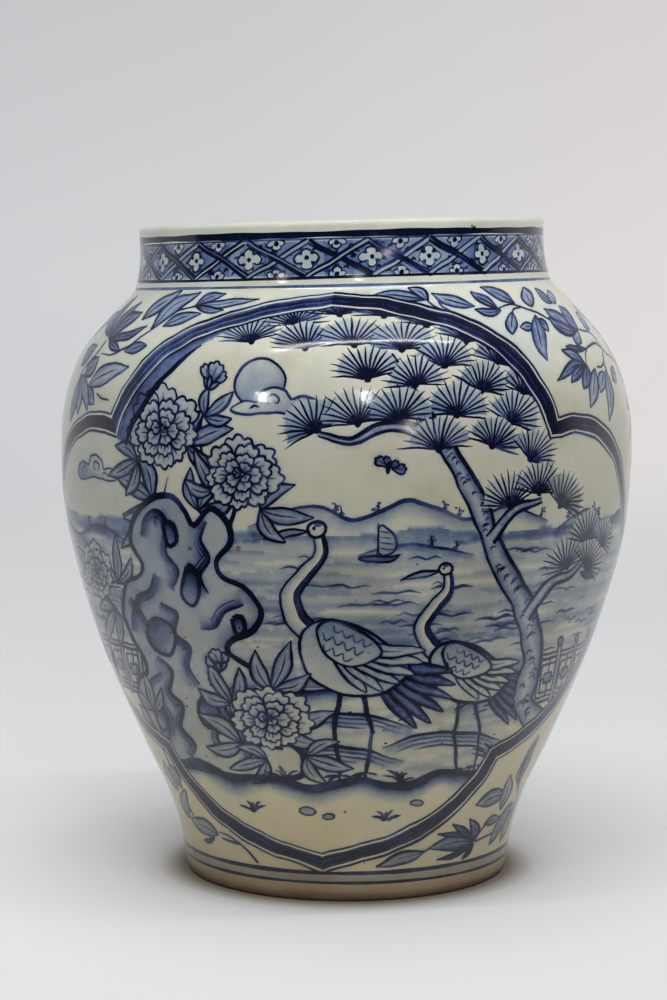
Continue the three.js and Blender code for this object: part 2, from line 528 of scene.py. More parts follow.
def leaf(base, middle, tip, width, ink=0.4, line=0.9, line_width=1.1, vein=0.66, heart=0.4, fullness=1.08):
    """A pointed leaf or petal: outlined, washed darker towards its edges, with a line up its middle."""
    path = flow([base, middle, tip], 2.6)
    t = np.linspace(0, 1, len(path))
    half = width / 2 * np.sin(math.pi * t ** 0.9) ** fullness * breath(len(path), 0.08)
    half[0] = half[-1] = 0
    out = sides(path) * half[:, None]
    left, right = path + out, path - out
    reserve(np.vstack([left, right[-2:0:-1]]), smooth=False)
    wash(left, path, ink * 1.25, ink * heart)
    wash(path, right, ink * heart, ink * 1.1)
    brush(left, line_width, line, tips=(0.6, 0.5))
    brush(right, line_width * 1.1, line, tips=(0.6, 0.5))
    if vein:
        brush(path[:max(3, int(len(path) * 0.8))], line_width * 0.75, vein, tips=(0.8, 0.1))


PETAL_LOBES = 3
PETAL_LINE = 0.8


def fan_petal(x, v, turn, reach, spread, ink, rim=0.08, veins=1, squash=1.0):
    """A broad petal, narrow at its base and scalloped at its rim, dark at the base and pale at the rim."""
    angles = np.linspace(-spread, spread, 4 * PETAL_LOBES + 1)
    scallop = np.abs(np.sin(PETAL_LOBES * math.pi * (angles + spread) / (2 * spread)))
    radius = reach * (1 - 0.2 * (angles / spread) ** 2) * (0.94 + 0.1 * scallop) * between(0.94, 1.06)
    ways = turn + angles
    place = lambda r: np.column_stack([x + r * np.cos(ways), v + r * np.sin(ways) * squash])
    outer, inner = place(radius), place(radius * 0.16)
    middle = place(radius * 0.6)
    keep_free(inner, outer)
    wash(inner, middle, ink, (ink + rim) * 0.45)
    wash(middle, outer, (ink + rim) * 0.45, rim)
    for k in range(veins):
        n = int((k + 1) * (len(angles) - 1) / (veins + 1))
        vein = [inner[n], middle[n], middle[n] * 0.45 + outer[n] * 0.55]
        brush(flow(vein, 2.6), 0.6, PETAL_LINE * 0.8, tips=(1, 0.1))
    rim_line = np.vstack([inner[:1], middle[:1], outer, middle[-1:], inner[-1:]])
    brush(flow(rim_line, 1.8), 1.0, PETAL_LINE, tips=(0.7, 0.7))


# A peony's rings from the outside in: reach, petals, half of each petal's width as an angle, and ink
PEONY_RINGS = [(1.0, 8, 0.46, 0.34), (0.74, 7, 0.46, 0.44), (0.5, 5, 0.6, 0.55), (0.28, 3, 0.8, 0.7)]


def peony(x, v, size, face):
    """A full blossom seen a little from one side: rings of petals, each in front of the one before."""
    shift = math.radians(face)
    for n, (reach, petals, spread, ink) in enumerate(PEONY_RINGS):
        turns = [TURN * (k + 0.5 * (n % 2)) / petals + between(-0.08, 0.08) for k in range(petals)]
        # The petals at the back of the blossom are laid first
        turns.sort(key=lambda turn: -math.cos(turn - shift))
        for turn in turns:
            lean_out = 0.88 + 0.16 * math.cos(turn - shift)
            fan_petal(x + size * 0.1 * n * math.cos(shift) * 0.4, v + size * 0.1 * n * math.sin(shift) * 0.4,
                      turn, size * reach * lean_out, spread, ink, veins=3 if n < 2 else 1, squash=0.9)
    for k in range(7):
        turn = k * 0.9
        blob(x + size * 0.1 * math.cos(turn), v + size * (0.1 + 0.08 * math.sin(turn)), 0.8, 0.95)


def bud(x, v, size, face):
    turn = math.radians(face)
    for side, reach in ((0.55, 0.9), (-0.55, 0.9), (0.0, 1.0)):
        fan_petal(x, v, turn + side, size * reach, 0.42, ink=0.6, rim=0.15)
    for side in (0.9, -0.9, 0.3):
        tip = (x + size * 0.5 * math.cos(turn + side), v + size * 0.5 * math.sin(turn + side))
        base = (x - size * 0.1 * math.cos(turn), v - size * 0.1 * math.sin(turn))
        leaf(base, ((x + tip[0]) / 2, (v + tip[1]) / 2), tip, size * 0.22, ink=0.5, vein=0)


def leaf_towards(x, v, turn, length, width, bend=0.12, **looks):
    """A leaf from a place in a direction, in degrees anticlockwise from the right."""
    way = math.radians(turn)
    tip = (x + length * math.cos(way), v + length * math.sin(way))
    middle = ((x + tip[0]) / 2 - bend * length * math.sin(way),
              (v + tip[1]) / 2 + bend * length * math.cos(way))
    leaf((x, v), middle, tip, width, **looks)


def three_leaves(x, v, turn, size, **looks):
    """A leaf of three fingers, as a peony has."""
    leaf_towards(x, v, turn + 42, size * 0.78, size * 0.27, bend=0.14, **looks)
    leaf_towards(x, v, turn - 42, size * 0.78, size * 0.27, bend=-0.14, **looks)
    leaf_towards(x, v, turn, size, size * 0.3, bend=between(-0.08, 0.08), **looks)


def blob(x, v, radius, ink, flat=1.0):
    """A dab of the brush."""
    corners = [(x + radius * math.cos(a) * between(0.8, 1.15),
                v + radius * flat * math.sin(a) * between(0.8, 1.15))
               for a in np.linspace(0, TURN, 8, endpoint=False)]
    patch(corners, ink, kind=LINE_MARK, step=radius)


# Marks right round the jar
RING_WANDER = 0.25
RING_STEP = 7.0


def ring_line(v, width, ink, start=0.0, kind=LINE_MARK):
    """A line right round the jar at a place on its line, as a brush held still while the wheel turns."""
    turns = np.linspace(0, 1, int(SHEET_WIDTH / RING_STEP) + 1)
    u = U_CUT + turns * SHEET_WIDTH
    wave = lambda waves, start=0.0: np.sin(waves * TURN * turns + start)
    wander = RING_WANDER * (wave(1, start) + 0.5 * wave(3, 2 * start))
    widths = width / 2 * (1 + 0.13 * wave(7, start) + 0.08 * wave(23))
    inks = ink * (1 + 0.07 * wave(5, 3 * start) + 0.05 * wave(17))
    high, low = (np.column_stack([u, v + wander + way * widths]) for way in (1, -1))
    sheet_ribbon(high, low, inks, kind)


def sheet_ribbon(a, b, inks, kind):
    for i in range(len(a) - 1):
        rate = (inks[i + 1] - inks[i]) / (a[i + 1][0] - a[i][0])
        slope = (rate, 0.0, inks[i] - rate * a[i][0])
        corners = [tuple(b[i]), tuple(b[i + 1]), tuple(a[i + 1]), tuple(a[i])]
        painting.add(corners, kind, slope, (min(inks[i:i + 2]), max(inks[i:i + 2])))


# Places of the lines round the jar, measured up its outline
FOOT_LINES = [(0.9, 2.4, 0.96), (-5.0, 1.8, 0.94)]
FOOT_WASH = (-2.2, 5.4, 0.2)
ROOT_LINES = [(355.7, 1.7, 0.5), (360.4, 1.6, 0.9)]
RIM_LINE = (383.4, 3.6, 1.02)
RIM_SHADE = (380.9, 1.2, 0.62)


def paint_ring_lines():
    ring_line(*FOOT_WASH, kind=WASH_MARK)
    for n, (v, width, ink) in enumerate(FOOT_LINES + ROOT_LINES + [RIM_SHADE, RIM_LINE]):
        ring_line(v, width, ink, start=1.3 * n)


def offset(path, distance):
    return path + sides(path) * distance


# The quatrefoil panel's edge, right half, as x from its centre line and v up the jar
ARCH = [(0, 345.5), (9, 343.6), (26, 341.3), (46, 335.3), (70, 326.5), (91, 315), (107, 302), (120, 288),
        (129, 275), (134, 264.5)]
SIDE_TOP = [(134, 264.5), (155, 266), (178, 260), (196, 249.5), (209, 236.5), (218.5, 221), (228, 204),
            (240, 187)]
SIDE_LOW = [(240, 187), (231, 170), (219, 150), (203, 133), (184, 114), (162, 98), (140, 86), (122, 78.5),
            (105, 72.5)]
TAIL = [(105, 72.5), (99, 63), (88, 50), (73, 37), (58, 27.5), (42, 20), (25, 14.3), (9, 10), (0, 6.5)]
PANEL_EDGES = [ARCH, SIDE_TOP, SIDE_LOW, TAIL]

BAND_WIDTH = 7.4
EDGE_LINE_WIDTH = 1.15
EDGE_LINE_GAP = 1.05
# How dark the band is in each edge, from the arch down, on the right and on the left
BAND_INKS = {1: (1.0, 1.02, 0.9, 1.08), -1: (0.76, 0.98, 0.86, 1.08)}
LANES = (0.8, 1.02, 1.14, 0.86, 1.12, 0.84)


def lengthen(path, reach):
    """The path with straight ends added, so that it can meet its neighbours."""
    head, tail = path[0] - path[1], path[-1] - path[-2]
    head, tail = head / np.hypot(*head), tail / np.hypot(*tail)
    return np.vstack([path[0] + head * reach, path, path[-1] + tail * reach])


def crossing(first, second):
    """Where two paths cross: a place on each, as a count of steps and a share, and the point."""
    for i in range(len(first) - 1):
        a, r = first[i], first[i + 1] - first[i]
        for j in range(len(second) - 1):
            b, s = second[j], second[j + 1] - second[j]
            turn = r[0] * s[1] - r[1] * s[0]
            if abs(turn) < 1e-9:
                continue
            gap = b - a
            t = (gap[0] * s[1] - gap[1] * s[0]) / turn
            w = (gap[0] * r[1] - gap[1] * r[0]) / turn
            if 0 <= t <= 1 and 0 <= w <= 1:
                return i, j, a + r * t
    return None


# Steps along each of the four edges
EDGE_STEPS = (44, 34, 44, 34)


def half_edge(distance):
    """The four edges of the right half moved inwards by a distance, cut to meet at their corners."""
    reach = abs(distance) * 2.5 + 4
    mirror = np.array([[0.0, -50.0], [0.0, 450.0]])
    paths = [lengthen(offset(flow(edge, 2.5), -distance), reach) for edge in PANEL_EDGES]
    chain = [mirror, *paths, mirror]
    for n in range(1, 5):
        before = crossing(chain[n], chain[n - 1]) if n == 1 else None
        if before:
            i, _, spot = before
            chain[n] = np.vstack([spot, chain[n][i + 1:]])
        after = crossing(chain[n][::-1], chain[n + 1])
        if after:
            i, j, spot = after
            chain[n] = np.vstack([chain[n][:len(chain[n]) - 1 - i], spot])
            if n < 4:
                chain[n + 1] = np.vstack([spot, chain[n + 1][j + 1:]])
    out = []
    for path, count in zip(chain[1:5], EDGE_STEPS):
        length = lengths(path)
        out.append(at_lengths(path, length, np.linspace(0, length[-1], count)))
    return out


def whole_edge(distance):
    """The panel's outline as one closed line, moved inwards by a distance."""
    right = np.vstack([path[:-1] for path in half_edge(distance)])
    left = right[1:][::-1] * [-1, 1]
    bottom = half_edge(distance)[-1][-1:]
    return np.vstack([right, bottom, left])


def paint_panel_edge():
    """The panel's frame: a broad dark band laid in several strokes, with a fine line on each side."""
    reach = BAND_WIDTH / 2 + EDGE_LINE_GAP + EDGE_LINE_WIDTH / 2
    outer, inner = half_edge(-reach), half_edge(reach)
    for side in (1, -1):
        for a, b in zip(outer, inner):
            ribbon(a * [side, 1], b * [side, 1], 0.0, kind=RESERVE_MARK)
    borders = [half_edge(-BAND_WIDTH / 2 + BAND_WIDTH * k / len(LANES)) for k in range(len(LANES) + 1)]
    for side in (1, -1):
        for n in range(4):
            count = len(outer[n])
            rough = [breath(count, 0.5, 5) - 1 for _ in borders]
            for k, lane in enumerate(LANES):
                a, b = borders[k][n].copy(), borders[k + 1][n].copy()
                if k == 0:
                    a += sides(a) * rough[0][:, None] * 0.6
                if k == len(LANES) - 1:
                    b += sides(b) * rough[-1][:, None] * 0.6
                ink = BAND_INKS[side][n] * lane * breath(count, 0.17, 7)
                ribbon(a * [side, 1], b * [side, 1], np.clip(ink, 0, INK_MOST))
            for path in (outer[n], inner[n]):
                brush(path * [side, 1], EDGE_LINE_WIDTH, ink=0.84, tips=(0.8, 0.8), loose=0.3)


def paint_inner_shade():
    """A shade inside the arch's left edge, with a dark line along it."""
    arch = half_edge(BAND_WIDTH / 2 + EDGE_LINE_GAP + EDGE_LINE_WIDTH)[0][15:] * [-1, 1]
    t = np.linspace(0, 1, len(arch))
    wide = 8.6 * np.clip(t / 0.5, 0, 1) ** 0.8
    within = arch + sides(arch) * wide[:, None]
    wash(arch, within, 0.62, 0.34)
    brush(within[6:], 2.3, 0.98, tips=(0.3, 0.6), loose=0.35)


# The lattice band round the collar: its edges, how many lozenges it has and where the first one starts
DIAPER_LOW = 360.9
DIAPER_HIGH = 380.4
DIAPER_COUNT = 22
DIAPER_START = 0.72
DIAPER_TOUCHES = 22


def paint_diaper():
    """Crossing double bands, with a floret in each lozenge and half a floret above and below it."""
    low, high = DIAPER_LOW, DIAPER_HIGH
    middle = (low + high) / 2
    wide = SHEET_WIDTH / DIAPER_COUNT * float(radius_at(middle)) / SHEET_RADIUS
    turns = [math.degrees(FRONT_TURN) + (n + DIAPER_START + between(-0.05, 0.05)) * 360 / DIAPER_COUNT
             for n in range(DIAPER_COUNT)]
    for turn in turns:
        use_field(Field(turn))
        for k in range(5):
            x = -wide * 0.56 + wide * 1.08 * k / 5
            end = x + wide * 0.22
            patch([(x, low), (end, low), (end, high), (x, high)], between(0.3, 0.52), smooth=False)
        for _ in range(DIAPER_TOUCHES):
            x, v = between(-wide / 2, wide / 2), between(low + 2, high - 2)
            touch = [(x - 1.6, v - 1), (x, v + between(-0.6, 1.6)), (x + 1.6, v + between(-1.5, 1))]
            stroke(touch, between(0.7, 1.5), between(0.55, 0.85), step=1.6)
    for turn in turns:
        use_field(Field(turn))
        floret(0, middle + between(-0.4, 0.4), wide * 0.215, (high - low) * 0.3)
        half_floret(wide / 2, low, 1)
        half_floret(wide / 2, high, -1)
    for turn in turns:
        use_field(Field(turn))
        for way in (-1, 1):
            lattice_band(way, wide, low, high, middle)


def lattice_band(way, wide, low, high, middle):
    """One slanting band from the foot of the lattice to its top: two lines with a pale strip between."""
    gap = between(0.95, 1.3)
    bow = between(-0.9, 0.9)
    path = flow([(between(-0.8, 0.8), low), (way * wide / 2, middle + bow),
                 (way * wide + between(-0.8, 0.8), high)], 3.0)
    out = sides(path) * gap
    heavy = way < 0 and draw_random.random() < 0.34
    ribbon(path + out, path - out, between(0.18, 0.3) if way > 0 else 0.4, kind=RESERVE_MARK)
    for side in (1, -1):
        brush(path + out * side * between(0.9, 1.25), between(0.7, 1.15),
              between(0.74, 0.98), tips=(0.8, 0.8), loose=0.4)
    if way < 0:
        brush(path + sides(path) * between(-0.6, 0.6), between(1.9, 3.0) if heavy else 1.1,
              1.02 if heavy else 0.82, tips=(0.7, 0.4), loose=0.5)


def floret(x, v, reach, rise):
    """A small flower left pale on the washed ground, with a dark heart."""
    upright, level = (rise, 5.4), (reach, 5.0)
    for dx, dv, (length, width) in ((0, 1, upright), (0, -1, upright), (1, 0, level), (-1, 0, level)):
        round_petal(x, v, dx, dv, length * between(0.85, 1.12), width * between(0.85, 1.15))
    for dx, dv in ((1, 1), (-1, 1), (1, -1), (-1, -1)):
        blob(x + dx * 3.6, v + dv * 2.7, between(0.7, 1.3), between(0.6, 0.95))
    blob(x + between(-0.4, 0.4), v + between(-0.4, 0.4), 1.45, 1.02)


def round_petal(x, v, dx, dv, length, width):
    """A round-ended petal left pale, roughly outlined."""
    sx, sv = -dv, dx
    spots = [(0.05, 0.0), (0.35, 0.40), (0.75, 0.48), (1.0, 0.0), (0.75, -0.48), (0.35, -0.40)]
    corners = [(x + dx * length * a + sx * width * b + between(-0.3, 0.3),
                v + dv * length * a + sv * width * b + between(-0.3, 0.3)) for a, b in spots]
    reserve(corners, step=1.5, ink=between(0.1, 0.22))
    stroke(corners[1:], 0.75, ink=between(0.7, 0.98), step=1.4, tips=(0.6, 0.6), loose=0.5)


def half_floret(x, v, up):
    """Half a floret that grows from the band's edge where two slanting bands cross."""
    for dx, dv, length, width in ((0.94, 0.34, 5.2, 3.4), (-0.94, 0.34, 5.2, 3.4), (0, 1, 5.0, 5.0)):
        round_petal(x, v + up * 0.3, dx, dv * up, length * between(0.9, 1.1), width)
    blob(x, v + up * 1.6, 1.55, 1.02)


# Sprays of leaves and blossoms outside the panels: base, middle, tip and width of each leaf, in mm
TOP_RIGHT = {
    "stems": [
        [(52, 342.5), (57, 338.5), (63, 335)],
        [(58.5, 343), (61, 338.5), (66, 334.5)],
        [(96.5, 335.5), (105.5, 337.5), (115.5, 336), (130.5, 330.5), (139.5, 326)],
        [(115.5, 336), (109, 334.5), (107, 332)],
        [(170.5, 319), (187, 316.5), (198.5, 307), (215, 300.5), (231.5, 294)],
        [(197, 306.5), (186, 310), (172, 306.5), (166, 298.5)],
        [(199, 305.5), (191, 297.5), (180, 296.5)],
        [(192.5, 299), (195, 293)],
    ],
    "leaves": [
        ((50.5, 343), (35.5, 347), (20, 347.5), 7.5),
        ((52.5, 342.5), (47, 349), (40, 353), 5.5),
        ((81, 337.5), (67, 342), (53.5, 348), 8),
        ((96.5, 335.5), (86.5, 342.5), (78.5, 349), 6),
        ((99, 334.5), (89.5, 332.5), (80.5, 335.5), 5),
        ((111, 338), (98.5, 346), (85, 352), 7),
        ((107, 332.5), (105.5, 325.5), (105, 317.5), 9.5),
        ((125, 335.5), (123.5, 342.5), (121.5, 350.5), 11),
        ((123.5, 322.5), (117, 323), (111.5, 322.5), 5.5),
        ((126.5, 326.5), (132, 323.5), (135, 318.5), 6.5),
        ((126, 330), (126, 313.5), (130, 301.5), 11),
        ((162, 309.5), (163.5, 314), (168, 318), 11),
        ((171.5, 307), (159, 308), (147.5, 309.5), 3),
        ((165.5, 298.5), (155, 304), (143, 308), 5.5),
        ((177.5, 295.5), (172.5, 284.5), (167, 273.5), 11),
        ((189.5, 293.5), (184, 287.5), (181, 282), 11),
        ((192.5, 294.5), (194.5, 279.5), (190.5, 264.5), 11),
        ((203.5, 295), (209, 290), (208.5, 285), 11),
        ((149, 337), (141, 343), (134, 349), 6.5),
        ((153.5, 336.5), (152, 342), (150, 347), 11),
        ((192.5, 318.5), (186.5, 324.5), (180, 329.5), 11),
    ],
    "petals": [
        ((169.5, 318.5), (151.5, 325), (135.5, 334.5), 11),
        ((169.5, 318.5), (163, 327.5), (156, 335.5), 11),
        ((164, 317.5), (147.5, 321), (137.5, 328.5), 8),
        ((165.5, 298.5), (150.5, 297), (137, 290), 7),
        ((166.5, 298.5), (165.5, 291.5), (160.5, 285), 11),
        ((162.5, 297.5), (154, 292.5), (149.5, 288), 7),
    ],
}
TOP_LEFT = {
    "stems": [
        [(-81, 342.5), (-93, 339.5), (-104.5, 330.5), (-113.5, 323), (-127.5, 313), (-143, 305.5),
         (-160.5, 305)],
        [(-159, 315), (-166, 306.5), (-176, 298.5), (-184.5, 292.5), (-189, 280.5), (-194.5, 265.5)],
        [(-156, 282), (-148.5, 279), (-141, 278)],
    ],
    "leaves": [
        ((-81, 342.5), (-72.5, 349), (-61.5, 352), 6.5),
        ((-81, 342.5), (-60.5, 344), (-40.5, 347), 6),
        ((-80.5, 342.5), (-71.5, 339.5), (-61.5, 339), 4.5),
        ((-103, 326.5), (-90, 333.5), (-75.5, 336.5), 8),
        ((-112.5, 325), (-100, 341.5), (-79, 353.5), 11),
        ((-124.5, 332), (-110.5, 344.5), (-94, 354.5), 9.5),
        ((-113, 312.5), (-122.5, 310.5), (-133, 307.5), 7),
        ((-195, 315.5), (-186, 329), (-160.5, 339), 11),
        ((-192, 296.5), (-183.5, 304.5), (-171.5, 311.5), 11),
        ((-178, 291), (-169.5, 296.5), (-161.5, 303), 11),
        ((-169.5, 284.5), (-150.5, 292.5), (-126, 298.5), 11),
        ((-170, 284.5), (-164.5, 280), (-157.5, 275.5), 9),
        ((-185, 291), (-181, 279.5), (-179.5, 268.5), 11),
        ((-182.5, 291), (-170, 280), (-165, 271), 8.5),
        ((-185.5, 288), (-189, 275.5), (-192.5, 263.5), 11),
    ],
    "petals": [
        ((-156.5, 316.5), (-143, 330.5), (-126, 338.5), 11),
        ((-155.5, 316), (-133, 320), (-116.5, 327.5), 7),
        ((-157, 317), (-152, 332), (-133, 346), 6),
        ((-158.5, 317.5), (-162.5, 334), (-147.5, 352), 8.5),
        ((-160, 318.5), (-169.5, 330.5), (-162, 339), 10),
        ((-155, 315.5), (-145.5, 311), (-137.5, 307.5), 6),
    ],
}
LOW_RIGHT = {
    "stems": [
        [(44, 9.5), (52, 9.5), (59.5, 12), (66.5, 14.5)],
        [(95, 12.5), (99.5, 18), (105, 22)],
        [(118, 24.5), (129, 27), (143, 29.5)],
        [(96, 12.5), (112, 14.5), (131, 23), (144.5, 28), (137.5, 42), (131, 51.5), (138, 65), (149, 77.5)],
    ],
    "leaves": [
        ((59.5, 12), (45, 9), (30, 5), 7.5),
        ((102.5, 22), (110, 23.5), (118, 24.5), 6),
        ((122.5, 40.5), (107, 40.5), (93.5, 37.5), 11),
        ((118, 29), (123, 41), (123.5, 54.5), 11),
        ((136, 30.5), (121, 18), (110.5, 7), 10.5),
        ((142, 26.5), (134, 16.5), (124.5, 6), 11),
        ((137.5, 39.5), (138, 57), (145.5, 69), 6.5),
        ((135, 45), (143, 63), (150.5, 76), 7),
    ],
    "petals": [
        ((95, 12.5), (76.5, 15), (61.5, 13), 10.5),
        ((94, 13.5), (80.5, 20), (66.5, 22), 3),
        ((95, 13.5), (95.5, 20.5), (90, 29), 7),
        ((94, 13.5), (85.5, 21), (76.5, 28), 4),
        ((94, 12), (81, 7), (67, 5), 3),
        ((95.5, 11.5), (90.5, 6.5), (85, 2.5), 2.5),
    ],
}
LOW_LEFT = {
    "stems": [
        [(-39, 3.5), (-45.5, 10.5), (-51.5, 14.5), (-60, 17.5), (-67.5, 19)],
        [(-51, 14), (-58.5, 14), (-65, 15)],
        [(-92, 25), (-98.5, 33), (-100.5, 44), (-108, 58), (-114, 73.5), (-118.5, 84)],
    ],
    "leaves": [
        ((-67.5, 17), (-80, 19.5), (-96.5, 22.5), 11),
        ((-71.5, 14), (-77.5, 10.5), (-83, 9.5), 2.5),
        ((-98, 21.5), (-101.5, 31.5), (-96, 42), 11),
        ((-101.5, 43), (-105.5, 51.5), (-109.5, 59.5), 11),
        ((-106.5, 39.5), (-114, 48.5), (-117, 59.5), 11),
        ((-116, 76), (-121.5, 86.5), (-126, 96), 11),
    ],
    "petals": [],
}


# Things to be seen in the panels' gardens

def placer(x, v, scale, side):
    """A function that carries points drawn about an origin to their place."""
    return lambda points: [(x + side * scale * a, v + scale * b) for a, b in points]


def oval(x, v, across, up, count):
    """Points of an oval, anticlockwise from its right end."""
    return [(x + across * math.cos(a), v + up * math.sin(a)) for a in np.linspace(0, TURN, count + 1)[:-1]]


def foliage(places, ink):
    """Leaves of three fingers, each from a place in a direction, with its size."""
    for place in places:
        three_leaves(*place, ink=ink)


BARK_INK = 0.3


def limb(points, thick, thin, scales=True):
    """A trunk or branch with bark drawn on it as small curves."""
    path = flow(points, 3.0)
    t = np.linspace(0, 1, len(path))
    half = (thick + (thin - thick) * t) / 2 * breath(len(path), 0.14, 4)
    side = sides(path)
    left, right = path + side * half[:, None], path - side * half[:, None]
    keep_free(left, right)
    wash(left, path, BARK_INK * 1.5, BARK_INK * 0.5)
    wash(path, right, BARK_INK * 0.5, BARK_INK * 2.0)
    brush(left, 1.2, 0.86, tips=(0.8, 0.5))
    brush(right, 1.7, 0.95, tips=(0.8, 0.5))
    for _ in range(int(len(path) * 0.8) if scales else 0):
        n = draw_random.randrange(1, len(path) - 1)
        across = between(-0.55, 0.45)
        size = half[n] * between(0.25, 0.42)
        spot = path[n] + side[n] * half[n] * across
        ahead = np.array([side[n][1], -side[n][0]])
        arc_points = [spot - side[n] * size, spot + ahead * size * 0.9, spot + side[n] * size]
        stroke(arc_points, 0.8, between(0.55, 0.9), step=1.8)


def pine_fan(x, v, size, turn, ink):
    """A tuft of pine needles: a washed fan with fine lines and a dark heart."""
    reach = math.radians(between(86, 104))
    middle = math.radians(turn)
    count = 15
    ways = np.linspace(middle - reach, middle + reach, count)
    rim = [(x + size * 0.82 * math.cos(w) * between(0.9, 1.08),
            v + size * 0.74 * math.sin(w) * between(0.9, 1.08)) for w in middle + 0.93 * (ways - middle)]
    heart = (x - 0.12 * size * math.cos(middle), v - 0.12 * size * math.sin(middle))
    reserve([heart, *rim], smooth=False)
    patch([heart, *rim], ink, smooth=False, towards=[heart, rim[count // 2]], far=ink * 0.3)
    for w in ways:
        long = size * between(0.9, 1.06)
        tip = (x + long * math.cos(w), v + long * 0.86 * math.sin(w))
        bend = ((heart[0] + tip[0]) / 2, (heart[1] + tip[1]) / 2 + 0.4)
        stroke([heart, bend, tip], 0.9, between(0.7, 0.95), tips=(0.9, 0.25), step=4, bleed=False)
    blob(heart[0], heart[1], size * 0.11, 0.95)


FOLD_DEPTH = 9.0
FOLD_INK = 0.36


def rock_folds(lines):
    """Folds in a rock: a bold line, the wash of its shaded side, and finer lines that follow it."""
    for points in lines:
        skirt(points, FOLD_DEPTH, FOLD_INK * between(0.8, 1.2))
        skirt(points, FOLD_DEPTH * 0.5, FOLD_INK * 0.8)
        stroke(points, between(1.3, 2.1), between(0.82, 1.0), tips=(0.5, 0.1), loose=0.4)
        path = flow(points, 3.0)
        for k in (1, 2):
            start = draw_random.randrange(0, max(1, len(path) // 3))
            end = len(path) - draw_random.randrange(0, max(1, len(path) // 3))
            if end - start > 3:
                follow = path[start:end] - sides(path)[start:end] * (1.9 * k + between(-0.4, 0.6))
                brush(follow, 0.75, between(0.5, 0.8), tips=(0.2, 0.1), loose=0.4)


# A tall pierced rock, as stands in a garden
ROCK_OUTLINE = [
    (-46, 0), (-44, 10), (-38, 17), (-46, 26), (-52, 40), (-47, 52), (-37, 58), (-38, 66), (-48, 80),
    (-54, 96), (-48, 112), (-36, 118), (-33, 126), (-42, 138), (-38, 152), (-26, 162), (-12, 165), (-2, 156),
    (4, 150), (14, 159), (25, 152), (26, 140), (18, 130), (21, 122), (34, 117), (44, 104), (40, 92),
    (28, 86), (25, 78), (36, 70), (51, 58), (52, 42), (46, 34), (54, 27), (67, 14), (64, 0), (30, -3),
    (-10, -2),
]
ROCK_FOLDS = [
    [(-40, 6), (-33, 18), (-38, 32), (-42, 44), (-34, 54), (-24, 60)],
    [(-47, 84), (-44, 96), (-38, 106), (-28, 110), (-24, 120)],
    [(-34, 142), (-30, 152), (-20, 156), (-12, 148), (-14, 134), (-6, 124), (-10, 112)],
    [(12, 152), (8, 142), (14, 132), (8, 122), (14, 112)],
    [(-20, 104), (-8, 98), (-10, 86), (0, 78), (-2, 66), (6, 56)],
    [(34, 106), (24, 102), (18, 92), (8, 90)],
    [(-26, 70), (-14, 62), (-18, 48), (-8, 40), (-12, 26), (-2, 14), (-6, 4)],
    [(42, 56), (30, 54), (22, 44), (26, 32), (16, 24), (20, 10)],
    [(56, 18), (44, 20), (36, 12), (38, 2)], [(14, 78), (20, 66), (12, 60)],
    [(-30, 12), (-22, 24), (-28, 38)], [(-46, 104), (-34, 94), (-30, 84)],
]
ROCK_HOLES = [
    [(-33, 84), (-27, 93), (-15, 92), (-10, 82), (-15, 72), (-27, 74)],
    [(0, 126), (6, 123), (8, 112), (3, 104), (-4, 110)], [(5, 46), (13, 47), (18, 38), (13, 28), (5, 32)],
    [(-32, 36), (-26, 34), (-24, 24), (-30, 20), (-35, 27)], [(-16, 150), (-9, 149), (-7, 141), (-13, 138)],
    [(28, 98), (33, 99), (35, 92), (30, 89)],
]
ROCK_DOTS = 34


def garden_rock(x, v, side=1):
    place = placer(x, v, 1.0, side)
    outline = place(ROCK_OUTLINE)
    shape(outline, ink=0.32, line=1.0, width=2.6, towards=[outline[9], outline[29]], far=0.12)
    skirt(outline[24:29], 9 * side, 0.4)
    skirt(outline[30:33], 9 * side, 0.4)
    rock_folds([place(points) for points in ROCK_FOLDS])
    for points in ROCK_HOLES:
        hole = place(points)
        shape(hole, ink=0.8, line=1.02, width=2.0, towards=[hole[1], hole[3]], far=0.3)
    for _ in range(ROCK_DOTS):
        spot = place([(between(-40, 42), between(6, 100))])[0]
        blob(*spot, between(0.5, 0.9), between(0.7, 0.95))


def feathers(base, tips, width, ink, line):
    """Long feathers from one place, the outermost laid first."""
    for tip in tips:
        middle = ((base[0] + tip[0]) / 2 + (tip[1] - base[1]) * 0.07,
                  (base[1] + tip[1]) / 2 - (tip[0] - base[0]) * 0.07)
        leaf(base, middle, tip, width, ink=ink, line=line, vein=0.6, fullness=0.6)


def scallops(rows, size):
    """Rows of small feathers drawn as bows."""
    for start, end in rows:
        length = math.hypot(end[0] - start[0], end[1] - start[1])
        count = max(2, int(length / size))
        for k in range(count):
            a = [start[i] + (end[i] - start[i]) * k / count for i in (0, 1)]
            b = [start[i] + (end[i] - start[i]) * (k + 1) / count for i in (0, 1)]
            down = ((a[0] + b[0]) / 2 + (b[1] - a[1]) * 0.6, (a[1] + b[1]) / 2 - (b[0] - a[0]) * 0.6)
            stroke([a, down, b], 0.75, 0.62 * between(0.85, 1.15), step=1.6, tips=(0.6, 0.6))


